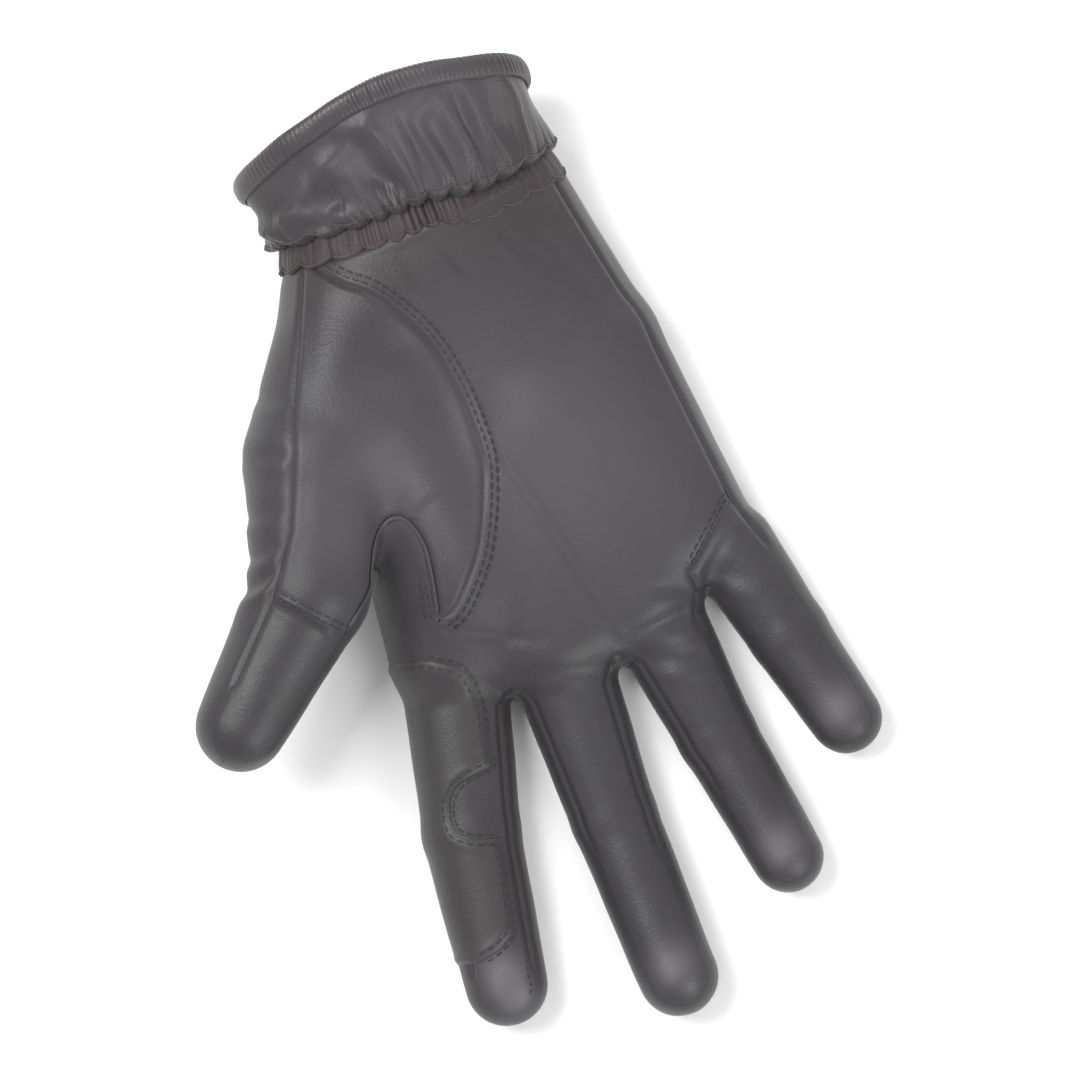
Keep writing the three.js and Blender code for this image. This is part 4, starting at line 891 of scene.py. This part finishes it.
def along_thumb(side, share, inset, shift, end_inset, start=tip_seam, pointed=False):
    """A seam along the thumb: sideways from its middle line by a share of the radius, then round the tip."""
    u = mix(start, 1, np.linspace(0, 1, thumb_rows + 1))[:, None]
    middle, r = mix(ball[:2], thumb_end[:2], u), mix(ball_r, thumb_tip_r, u)
    straight = middle + side * ((r - inset) * share + shift)
    narrow = np.cos(tip_turn)
    w = (thumb_tip_r - inset) * share * narrow + shift * (narrow if pointed else 1)
    e = (thumb_tip_r - end_inset + shift) * np.sin(tip_turn)
    return np.concatenate([straight, thumb_end[:2] + side * w + thumb_way * e])


def outer_seam(shift, start, pointed):
    """The thumb's outer seam in three runs: to the web's crown, to the tip's seam, to the tip."""
    tip = along_thumb(outer_way, 0.5, 0, -shift, 2.6, start, pointed)
    root = sample(side_seam, crown_row, shift)
    root[0] = at_wrist(root[0, 0] + shift, -half)
    return root, sample(np.array([side_seam[-1], tip[0]]), front_rows, shift), tip


root, mid, tip = outer_seam(half, tip_seam - step, True)
gusset = sample(gusset_seam, point_row, -half)
gusset[0] = at_wrist(gusset[0, 0] - half, -half)
crown_in = crown + np.array([0.25 * half, half])
middle = mix(root, gusset[:crown_row + 1], 0.52)
middle += (crown_in - middle[-1]) * ease((np.arange(crown_row + 1) - crown_row + 20) / 20)[:, None]
grids = [flush(strip(root, middle, wide, on_top)), flush(strip(middle, gusset[:crown_row + 1], wide, on_top))]
inner_end = along_thumb(away, 1, inner_inset, -half, 2.6, tip_seam - step)[0]
leg = sample(np.vstack([arch_left, inner_end]), front_rows, -half)
leg[0], leg[-1] = crown_in, inner_end
mid[0], mid[-1] = root[-1], tip[0]
grids.append(strip(mid, leg, wide, on_top))
tongue_rows = point_row - crown_row
right = sample(arch_right[::-1], tongue_rows, half)
right[0] = crown_in
reach_in = gusset[crown_row:].copy()
right[-1], reach_in[-1] = mix(right[-2], point, 0.44), mix(reach_in[-2], point, 0.44)
grids.append(strip(right, reach_in, wide, on_top))
over_tip = mix(mid[-1], inner_end, np.linspace(0.03, 0.97, 60)[:, None])
tip_stitches = [on_top(over_tip - thumb_way * d) for d in (1.2, 2.6)]
panel("thumb_front", grids, palm_leather, channels=tip_stitches)
stitch_lines += tip_stitches

# The thumb's tip: a cap of the palm's leather over the front of the thumb, below the double-stitched seam.
a = along_thumb(outer_way, 0.5, 0, -half, 2.6, tip_seam + step, True)
b = along_thumb(away, 1, inner_inset, -half, 2.6, tip_seam + step, True)
panel("thumb_tip", [strip(a, b, wide, on_top)], palm_leather)

# The thumb's back: from the band round the outer side of the thumb to its tip, in the back's leather.
under_room, under_bow = 2.2, 3.0


def under_seam(shift):
    """The seam under the thumb: from the back's seam, bowed towards the wrist, then on to the tip."""
    tip = on_bottom(along_thumb(away, 0.5, 0, shift, 3.4))
    corner = sample(dorsal_seam, point_row, -half)[crown_row]
    start = on_bottom(corner - np.array([0, seam_gap if shift > 0 else 0]))
    k = np.arange(1, front_rows)[:, None]
    w = np.clip(np.minimum(k, front_rows - k) / 8, 0, 1)
    foot = mix(start, on_bottom(sample(dorsal_seam, point_row, 0)[crown_row]), w)
    line = mix(foot, on_bottom(along_thumb(away, 0.5, 0, 0, 3.4)[0]), k / front_rows)
    push = shift * (1 + (under_room - 1) * w) - under_bow * np.sin(np.pi * k / front_rows)
    return np.concatenate([start[None], settle(line + np.array([*away, 0]) * push), tip])


def tip_angles(count):
    """The angle round the tip at each row of a seam: 0 along the thumb, up to a right angle at the end."""
    a = np.zeros(count)
    a[-tip_rows:] = tip_turn[:, 0]
    return a[:, None]


root, mid, tip = outer_seam(-half, tip_seam, False)
upper = on_top(np.concatenate([root, mid[1:-1], tip]))
dorsal = sample(dorsal_seam, point_row, -half)
dorsal[0] = at_wrist(dorsal[0, 0], -half)
lower = np.concatenate([on_bottom(dorsal[:crown_row + 1]), under_seam(-half)[1:]])
a = tip_angles(len(upper))
out = unit((upper - lower)[:, :2])
out = mix(out, outer_way, ease((np.arange(len(upper))[:, None] - crown_row) / 16))
via = np.concatenate([out * np.cos(a) + thumb_way * np.sin(a), np.zeros_like(a)], -1)
thumb_wall = fan((upper + lower) / 2, upper, lower, via, 26)
thumb_folds = [
    ((-64, 66), (-46, 62), 0.5, 1.8, 0.3),
    ((-78, 35), (-60, 39), 0.9, 1.5, 0.6),
    ((-76, 42), (-60, 44), 0.5, 1.6, 0.4),
    ((-72, 52), (-58, 52), 0.45, 1.8, 0.3),
    ((-60, 80), (-44, 74), 0.35, 1.8, 0.25),
]


def thumb_relief(points):
    """The soft relief of every panel, and the folds across the outer side of the thumb's root."""
    return skin_relief(points) + sum(crease(points, *row) for row in thumb_folds)


panel("thumb_back", [flush(thumb_wall)], back_leather, relief=thumb_relief)

# The thumb's gusset: the inner side of the thumb, the hollow under the web's free edge, and on to the point
# of the seam near the index finger, in the back's leather.


def bend(start, over, end, cols):
    """A grid whose rows go from start to end by way of a third point, as parabolas laid on the form."""
    t = spaced(cols)[None, :, None]
    pull = 2 * over - (start + end) / 2
    a, b, c = start[:, None], pull[:, None], end[:, None]
    grid = settle(mix(mix(a, b, t), mix(b, c, t), t))
    grid[:, 0], grid[:, -1] = start, end
    return grid


web_left = sample(np.vstack([arch_left, inner_end]), 60, 0)[1:-3]
web_edge = np.concatenate([sample(arch_right, 60, 0)[4:], web_left])
v_stitches = [on_top(sample(arch_right, 120, d)[2:44]) for d in (1.7, 3.1)]
stitch_lines += v_stitches
cols = 24
inner_line = along_thumb(away, 1, inner_inset, half, 2.6)
leg = sample(np.vstack([arch_left, inner_line[0]]), front_rows, half)
crown_out = crown - np.array([0.25 * half, half])
upper = on_top(np.concatenate([crown_out[None], leg[1:-1], inner_line]))
lower = under_seam(half)
turn = settle(np.array([-0.487 * palm_breadth, 0.263 * palm_length, 12.0]))
k = np.arange(front_rows + 1)[:, None]
look = unit(mix(np.array([-0.45, -0.89, 0]), np.array([*away, 0]), k / front_rows))
top, foot = upper[:front_rows + 1], lower[:front_rows + 1]
over = cast((top + foot) / 2 - look * 3, look, 40)
over = settle(mix(turn, over, ease(k / 8)))
bent = bend(top, over, foot, cols)
a = tip_angles(len(upper))
middle = (upper + lower) / 2
middle[:, :2] -= away * 2.5 * np.cos(a)
via = np.concatenate([away * np.cos(a) + thumb_way * np.sin(a), np.zeros_like(a)], -1)
fanned = fan(middle, upper, lower, via, cols)
blend = ease((k - front_rows + 10) / 10)[..., None]
joined = settle(mix(bent, fanned[:front_rows + 1], blend))
joined[:, 0], joined[:, -1] = top, foot
web_grid = np.concatenate([joined, fanned[front_rows + 1:]])
right = sample(arch_right[::-1], tongue_rows, -half)
dorsal = sample(dorsal_seam, point_row, -half)
end, side = index_side(back_inset + half)[0], index_side(0)[0]
right[0] = crown_out
top = on_top(right)
foot = on_bottom(dorsal[crown_row:])
foot[0] = lower[0]
shared = point[1] - half + 0.01
top[-1] = on_top(np.array([point[0] - half, shared]))
foot[-1] = on_bottom(np.array([end[0], shared]))
k = np.arange(tongue_rows + 1)[:, None]
over = settle(mix(turn, np.array([*side, palm_depth * 0.45]), k / tongue_rows))
bent = bend(top, over, foot, cols)
centre = np.array([[mix(point[0], end[0], 0.35), shared, palm_depth * 0.45]])
last_row = fan(centre, top[-1:], foot[-1:], np.array([[-1, 0.0, 0]]), cols)
blend = ease((k - tongue_rows + 10) / 10)[..., None]
tongue = settle(mix(bent, np.broadcast_to(last_row, bent.shape), blend * 0.92))
tongue[:, 0], tongue[:, -1], tongue[-1] = top, foot, last_row[0]
tongue[0] = web_grid[0]
panel("thumb_gusset", [web_grid, tongue], back_leather)


def cord(name, line, radius, material, sides=8):
    """A round along a line of points: rings square to the line, as wide as a half circle at its two ends."""
    way = unit(np.gradient(line, axis=0))
    across = unit(np.cross(way, slope(line)))
    up = np.cross(across, way)
    count = len(line)
    size = radius * np.sqrt(np.clip(np.minimum(np.arange(count), np.arange(count)[::-1]) / 3, 0.02, 1))
    turn = np.arange(sides) * 2 * np.pi / sides
    ring = across[:, None] * np.cos(turn)[None, :, None] + up[:, None] * np.sin(turn)[None, :, None]
    points = (line[:, None] + ring * size[:, None, None]).reshape(-1, 3)
    i, j = np.meshgrid(np.arange(count - 1) * sides, np.arange(sides), indexing="ij")
    k = (j + 1) % sides
    sleeve = np.stack([i + j, i + k, i + sides + k, i + sides + j], -1).reshape(-1, 4)
    first, last = np.arange(sides)[::-1], (count - 1) * sides + np.arange(sides)
    caps = np.array([first[[0, 1, 2, 3]], first[[0, 3, 4, 5]], first[[0, 5, 6, 7]],
                     last[[0, 1, 2, 3]], last[[0, 3, 4, 5]], last[[0, 5, 6, 7]]])
    as_object(name, points, np.concatenate([sleeve, caps]), material, None)


# The free edge of the web is turned in and stands as a thin round bead round the hollow.
edge_line = settle(on_top(web_edge))
cord("web_edge", edge_line + slope(edge_line) * 0.1, 0.55, palm_leather)

# The patch: a thin second layer of leather round the thumb's side of the index finger, where the rein runs,
# with a bite cut out over the middle joint. It lies on the palm and is sewn down along its edge.
patch_leather = leather_look("patch_leather", (0.039, 0.037, 0.039), (0.031, 0.028, 0.030), 0.46)
patch_thickness, patch_lift = 0.75, 0.1
patch_length, patch_start, patch_under = 74.0, 5.0, 0.93
# share of the patch's length, and of the finger's half width from its middle line
patch_edge = np.array([
    (0.0, -0.92), (0.006, -0.5), (0.045, 0.1), (0.1, 0.3), (0.2, 0.43), (0.3, 0.47), (0.375, 0.52),
    (0.392, 0.12), (0.42, -0.24), (0.47, -0.42), (0.53, -0.44), (0.575, -0.34), (0.6, 0.0), (0.61, 0.48),
    (0.72, 0.5), (0.85, 0.46), (0.92, 0.4), (0.965, 0.0), (1.0, -0.6)])
index = fingers[0]
pace = np.diff(patch_edge, axis=0) * np.array([patch_length, 12])
run = np.concatenate([[0], np.cumsum(np.hypot(pace[:, 0], pace[:, 1]))])
dense = np.linspace(0, run[-1], 900)
pad = np.concatenate([np.zeros(14), dense, np.full(14, run[-1])])
kernel = np.hanning(29) / np.hanning(29).sum()
smoothed = [np.convolve(np.interp(pad, run, column), kernel, "valid")[::4] for column in patch_edge.T]
edge_curve = np.stack(smoothed, -1)
middle, r = index.at((edge_curve[:, 0] * patch_length - patch_start) / index.reach)
w = np.minimum(half_width(middle, index.side), r * 1.02)
patch_rim = middle[:, :2] + index.side * (w * edge_curve[:, 1])[:, None]
top = on_top(patch_rim)
foot = on_bottom(middle[:, :2] - index.side * (r * patch_under)[:, None])
via = np.tile([*(-index.side), 0.0], (len(top), 1))
patch = fan(middle, top, foot, via, 26)
way = unit(np.gradient(patch_rim, axis=0))
aside = np.stack([-way[:, 1], way[:, 0]], -1)
aside *= np.sign((aside @ index.side).sum())
patch_stitches = on_top(patch_rim[1:-1] - aside[1:-1] * 1.25)
palm_side_stitches = on_top(patch_rim[1:-1] + aside[1:-1] * 0.95)


def patch_height(points):
    """The patch's outside over the form: its thickness, skived towards both ends on the side wall."""
    offset = points[:, :2] - index.root
    share = (offset @ index.way + patch_start) / patch_length
    aside = ease((-(offset @ index.side) / index.radii[0] - 0.3) / 0.4)
    ends = ease(np.minimum(share, 1 - share) * patch_length / 9)
    return (patch_lift + patch_thickness) * mix(1, 0.55 + 0.45 * ends, aside)


panel("index_patch", [patch], patch_leather, lift=patch_height, wall=patch_thickness - 0.05,
      roll=0.42, channels=[patch_stitches])

# The gathered band: a strip of darker leather over a sewn-in elastic, which pulls it into upright creases.
# Its two edges are stitched in scallops.
wrist_turns = 960
around = np.linspace(0, 2 * np.pi, wrist_turns, endpoint=False)
axis_z = wrist_depth * 0.49
pinch = 0.035
band_height = 6.4
scallops = 26
out_way = np.stack([np.sin(around), np.zeros_like(around), np.cos(around)], -1)


def wrist_reach(turns, drop=0.0):
    """The wrist's radius at each turn, cast from the axis at the height of the band's line less drop."""
    way = np.stack([np.sin(turns), np.zeros_like(turns), np.cos(turns)], -1)
    radius = np.full_like(turns, wrist_width / 2)
    for _ in range(3):
        y = band_line(wrist_mid + radius * np.sin(turns)) - drop
        start = np.stack([np.full_like(turns, wrist_mid), y, np.full_like(turns, axis_z)], -1)
        radius = np.linalg.norm(cast(start, way, 60) - start, axis=-1)
    return radius


wrist_r = wrist_reach(around)
wrist_line = band_line(wrist_mid + wrist_r * np.sin(around))
degrees = (np.degrees(around) + 180) % 360 - 180
# the gathers sit lower at the little finger's side
droop = ease((degrees - 2) / 45) * ease((125 - degrees) / 40)


def ring_points(radius, y, shift, axis):
    """Rings round the wrist's axis: rows of radii and heights along it, never below the floor."""
    x = wrist_mid + shift + radius * np.sin(around)
    z = axis + radius * np.cos(around)
    return np.stack([x, np.broadcast_to(y, radius.shape), np.maximum(z, 0.0)], -1)


def tube(name, rows, material, node):
    """A closed wall from rings: every ring is joined to the next, and the last one to the first."""
    rings, turns = rows.shape[:2]
    i, j = np.meshgrid(np.arange(rings), np.arange(turns), indexing="ij")
    a, b = i * turns + j, i * turns + (j + 1) % turns
    c, d = (i + 1) % rings * turns + j, (i + 1) % rings * turns + (j + 1) % turns
    faces = np.stack([a, b, d, c], -1).reshape(-1, 4)
    points = rows.reshape(-1, 3)
    corners = points[faces]
    volume = sum((corners[:, 0] * np.cross(corners[:, at], corners[:, at + 1])).sum() for at in (1, 2))
    if volume < 0:
        faces = faces[:, ::-1]
    as_object(name, points, faces, material, node)


def scallop(turns, count, skew=0.0):
    """A row of round scallops: 0 at the points between them and 1 at the middle of each."""
    phase = turns * count / 2 + 0.35 * np.sin(3 * turns + skew)
    return np.abs(np.sin(phase + skew)) ** 0.75


def wrinkle(turns, count, skew):
    """Uneven upright creases, 0 between them and -1 in the deepest."""
    phase = turns * count / 2 + 0.9 * np.sin(5 * turns + skew) + 0.6 * np.sin(11 * turns + 2 * skew)
    deep = 0.65 + 0.35 * np.sin(7 * turns + 3 * skew)
    return -deep * (1 - np.abs(np.sin(phase))) ** 2


s = np.linspace(0, 1, 26)[:, None]
lower_edge = 1.5 * scallop(around, scallops) + 4.6 * droop
low_r = wrist_reach(around, lower_edge)
band_y = wrist_line + half - lower_edge + s * (band_height + lower_edge + 0.6)
puff = 0.55 * np.sin(np.pi * np.clip(s * 1.05, 0, 1)) + 0.45 * np.exp(-(s / 0.08) ** 2)
creases = 0.6 * wrinkle(around, 54, 0.4) + 0.25 * wrinkle(around, 97, 2.0)
creases = creases * (0.35 + 0.65 * np.sin(np.pi * s) ** 0.5)
band_r = mix(low_r, wrist_r * (1 - pinch), ease(s * 1.3)) + puff + creases + 0.1
band_outer = ring_points(band_r - 0.5 * np.exp(-(s / 0.03) ** 2), band_y, 0, axis_z)
band_thickness = 1.0
band_inner = band_outer - out_way * band_thickness
band_leather = leather_look("band_leather", (0.034, 0.026, 0.028), (0.024, 0.017, 0.019), 0.6)
tube("wrist_band", np.concatenate([band_outer, band_inner[::-1]]), band_leather, "wrist_band")

# The cuff: a loose tube of the palm's leather, gathered into the band, puffing out over it in folds.
cuff_width, cuff_depth, cuff_length = 76.0, 55.0, 29.5
rim_lead, rim_arch, rim_skew = 14.0, 2.0, 2.2
fold_depth = 2.6
binding_height, binding_roll, binding_clearance = 6.0, 1.25, 0.34
cuff_shift = -0.02 * cuff_width
# degrees from the palm side's middle at the rim and at the band, height, spread in degrees, peak along it
cuff_folds = [
    (0, 14, 1.1, 13, 0.45), (-48, -22, 1.0, 12, 0.4), (-92, -62, 1.1, 12, 0.25), (36, 40, 0.7, 10, 0.35),
    (68, 78, 1.0, 12, 0.5), (112, 108, 0.9, 14, 0.4), (150, 146, 0.8, 13, 0.4), (184, 186, 0.9, 13, 0.45),
    (222, 224, 0.8, 12, 0.4), (248, 258, 0.7, 10, 0.35),
]
rim_y = (palm_length + band_height + cuff_length - rim_lead / 2 * (1 - np.cos(around))
         - rim_arch / 2 * (1 - np.cos(2 * around)) + rim_skew * np.sin(around))


def cuff_radius(share):
    """The cuff's radius at shares of its length, from the band to the rim's ellipse, with puff and
    folds."""
    start = wrist_r * (1 - pinch)
    half_wide, half_deep = cuff_width / 2 - binding_roll, cuff_depth / 2 - binding_roll
    rim = 1 / np.hypot(np.sin(around) / half_wide, np.cos(around) / half_deep)
    radius = mix(start, rim, share ** 0.5) + 2.2 * np.sin(np.pi * share ** 0.45)
    for at_rim, at_band, height, spread, peak in cuff_folds:
        degrees_off = (np.degrees(around) - mix(at_band, at_rim, share) + 180) % 360 - 180
        growth = np.where(share < peak, ease(share / peak), 1 - 0.72 * ease((share - peak) / (1 - peak)))
        radius = radius + fold_depth * growth * (height * np.exp(-(degrees_off / spread) ** 2) - 0.12)
    return radius


# degrees from the palm side's middle and share of the length at both ends, height and spread in mm
cuff_ridges = [
    (4, 0.04, -8, 0.7, 2.0, 3.4), (-8, 0.66, -22, 0.78, 1.2, 3.0), (-24, 0.62, -44, 0.52, 1.5, 3.2),
    (-44, 0.5, -62, 0.3, 1.3, 2.8), (-30, 0.06, -62, 0.3, 1.5, 2.6), (-66, 0.04, -84, 0.34, 1.6, 2.6),
    (24, 0.05, 17, 0.5, 1.3, 2.6), (38, 0.06, 34, 0.55, 1.2, 2.4), (54, 0.08, 46, 0.8, 1.6, 2.6),
    (16, 0.62, 30, 0.72, 1.2, 2.8), (70, 0.1, 64, 0.85, 1.4, 2.6), (-4, 0.2, -20, 0.3, -1.5, 3.0),
    (14, 0.3, 12, 0.6, -1.2, 2.6), (46, 0.2, 42, 0.7, -1.2, 2.2), (-52, 0.12, -34, 0.34, -1.3, 2.6),
]


def soft_folds(share):
    """Soft folds of the cuff: each is a bell across a straight line from one end to the other, on the
    rolled-out cuff, whose ends fade; hollows have a height below 0."""
    total = np.zeros(np.broadcast(degrees, share).shape)
    for x0, s0, x1, s1, height, spread in cuff_ridges:
        offset = np.stack(np.broadcast_arrays((degrees - x0) * 0.6, (share - s0) * cuff_length), -1)
        way = np.array([(x1 - x0) * 0.6, (s1 - s0) * cuff_length])
        along = np.clip(offset @ way / (way @ way), 0, 1)
        distance = np.linalg.norm(offset - along[..., None] * way, axis=-1)
        total += height * np.exp(-(distance / spread) ** 2) * (0.7 + 0.5 * np.sin(np.pi * along))
    return total * ease(share / 0.12) * ease((1.02 - share) / 0.12)


def cuff_rows(share, depth, fine, lead=0.0):
    """Rings of the cuff at shares of its length, a depth inwards; fine adds the gathers by the band."""
    start = wrist_line + band_height + half
    end = rim_y - binding_roll - binding_clearance
    axis = mix(axis_z, cuff_depth / 2 - 0.6, ease(share))
    radius = cuff_radius(np.clip(share, 0, 1)) - depth
    y = mix(start, end, share) + lead
    if fine:
        fade = np.exp(-share / 0.13)
        gathers = 1.15 * fade * wrinkle(around, 2 * scallops, 1.1)
        radius = radius + gathers * np.clip(1 - share / 0.75, 0, 1) + 0.8 * fade
        slow = np.exp(-((share - 0.25) / 0.25) ** 2)
        radius = radius + 0.3 * wrinkle(around + 0.06 * share, 38, 0.2) * slow
        radius = radius + 0.1 * wrinkle(around - 0.1 * share, 71, 2.6) * np.clip(1 - share, 0, 1)
        radius = radius - 0.7 * np.exp(-(share / 0.02) ** 2) + 1.1 * np.exp(-(share / 0.07) ** 2)
        radius = radius + soft_folds(share)
        hang = 0.2 + 1.5 * scallop(around, scallops, 0.8) + 3.2 * droop
        y = y - hang * np.clip(1 - share / 0.5, 0, 1) ** 2
    return ring_points(radius, y, cuff_shift * share, axis)


s = (np.linspace(0, 1, 64) ** 1.25)[:, None]
cuff = np.concatenate([cuff_rows(s, 0, True), cuff_rows(s[::-2], leather, True)])
tube("cuff", cuff, palm_leather, "cuff")

gathering = plain_look("gathering_thread", (0.07, 0.048, 0.051), 0.6)
thread_radius, thread_clear = 0.16, 0.05
round_thread = np.linspace(0, 2 * np.pi, 7)[:6, None, None]
round_way = np.cos(round_thread) * out_way + np.sin(round_thread) * np.array([0, 1.0, 0])
cuff_thread = cuff_rows(np.array([[0.05]]), -0.12, True)[0]
for name, line, ahead in (("lower_gathering", band_outer[1], 0.5), ("upper_gathering", cuff_thread, 0.0)):
    ring = line + out_way * thread_clear + np.array([0, ahead, 0])
    tube(name, ring + thread_radius * round_way, gathering, None)

# The binding: a strip of leather rolled over the cuff's rim and sewn through, ribbed by the stitches.
c, r, w, h = binding_clearance, binding_roll, leather, binding_height
outside = [(-c, h), (-c - r * 0.7, h - 0.2), (-c - r, h - 1), (-c - r, 1.5), (-c - r * 0.5, 0.35), (w / 2, 0),
           (w + c + r * 0.5, 0.35), (w + c + r, 1.5), (w + c + r, h - 1), (w + c, h)]
section = smooth_line(outside, np.linspace(0, 1, 37))
middle_line = np.stack([np.clip(section[:, 0], 0, w), np.clip(section[:, 1], 1.5, h)], -1)
from_middle = section - middle_line
inside = np.array([(w + c, (h + r) / 2), (w + c, r), (-c, r), (-c, (h + r) / 2)])
phase = around * 75 + 1.1 * np.sin(4 * around) + 0.7 * np.sin(9 * around)
rib_depth = 0.05 + 0.12 * ease((degrees + 40) / 60) + 0.03 * np.sin(6 * around + 1)
ribs = rib_depth * (np.abs(np.sin(phase)) ** 0.6 - 1)
swell = 1 + 0.05 * np.sin(5 * around + 0.6) + 0.04 * np.sin(13 * around)
rows = []
for (depth, below), push in [*zip(section, from_middle), *((p, np.zeros(2)) for p in inside)]:
    deep = depth + push[0] * (ribs + swell - 1)
    y = rim_y - below - push[1] * (ribs + swell - 1)
    start = wrist_line + band_height + half
    s = np.clip((y - start) / (rim_y - r - c - start), 0, 1)
    ring = cuff_rows(s, deep, False)
    ring[:, 1] = y
    rows.append(ring)
binding_leather = leather_look("binding_leather", (0.040, 0.036, 0.039), (0.028, 0.025, 0.027), 0.42)
tube("cuff_binding", np.array(rows), binding_leather, "cuff_binding")

# The stitching: waxed thread, a short rounded length for every stitch, sunk a little into its channel.
thread = plain_look("waxed_thread", (0.022, 0.021, 0.025), 0.5)


def stitching(name, lines, material, pitch=2.35, length=1.75, thick=0.42, height=0.0, arch=0.16):
    """Stitches along lines on the form: each is a round of five rings that narrows at both ends, bent like
    a low arch. A ring's height follows one minus the square of its share of half the stitch."""
    share = np.array([-1, -0.82, 0, 0.82, 1])
    wide_at = np.array([0.05, 0.8, 1, 0.8, 0.05]) * thick / 2
    turn = np.arange(6) * np.pi / 3
    starts, ends = [], []
    for line in lines:
        run = run_along(line)
        centres = np.arange(pitch * 0.7, run[-1] - pitch * 0.4, pitch)
        for out, shift in ((starts, -length / 2), (ends, length / 2)):
            out.append(np.stack([np.interp(centres + shift, run, line[:, c]) for c in range(3)], -1))
    head, tail = np.concatenate(starts), np.concatenate(ends)
    centre = (head + tail) / 2
    up = unit(slope(centre))
    way = tail - head
    across = unit(np.cross(way, up))
    rise = height + skin_relief(centre)
    rises = rise[:, None] + arch * (1 - share ** 2)
    spine = centre[:, None] + way[:, None] * share[None, :, None] / 2 + up[:, None] * rises[..., None]
    cosine, sine = (f(turn)[None, None, :, None] for f in (np.cos, np.sin))
    ring = across[:, None, None] * cosine + up[:, None, None] * sine
    points = spine[:, :, None] + ring * wide_at[None, :, None, None]
    row = np.arange(4)[:, None] * 6
    corner = np.arange(6)[None]
    after = (corner + 1) % 6
    quads = np.stack([row + corner, row + after, row + 6 + after, row + 6 + corner], -1).reshape(-1, 4)
    caps = np.array([(5, 4, 3, 2), (5, 2, 1, 0), (24, 25, 26, 27), (24, 27, 28, 29)])
    one = np.concatenate([quads, caps])
    faces = (np.arange(len(centre))[:, None, None] * 30 + one).reshape(-1, 4)
    as_object(name, points.reshape(-1, 3), faces, material, None)


stitching("palm_stitching", stitch_lines, thread)
stitching("patch_stitching", [patch_stitches], thread, height=patch_lift + patch_thickness - 0.1)
stitching("patch_side_stitching", [palm_side_stitches], thread, height=0.02)
stitching("finger_stitching", finger_stitches, thread, pitch=1.9, length=1.3, thick=0.3, height=0.02)
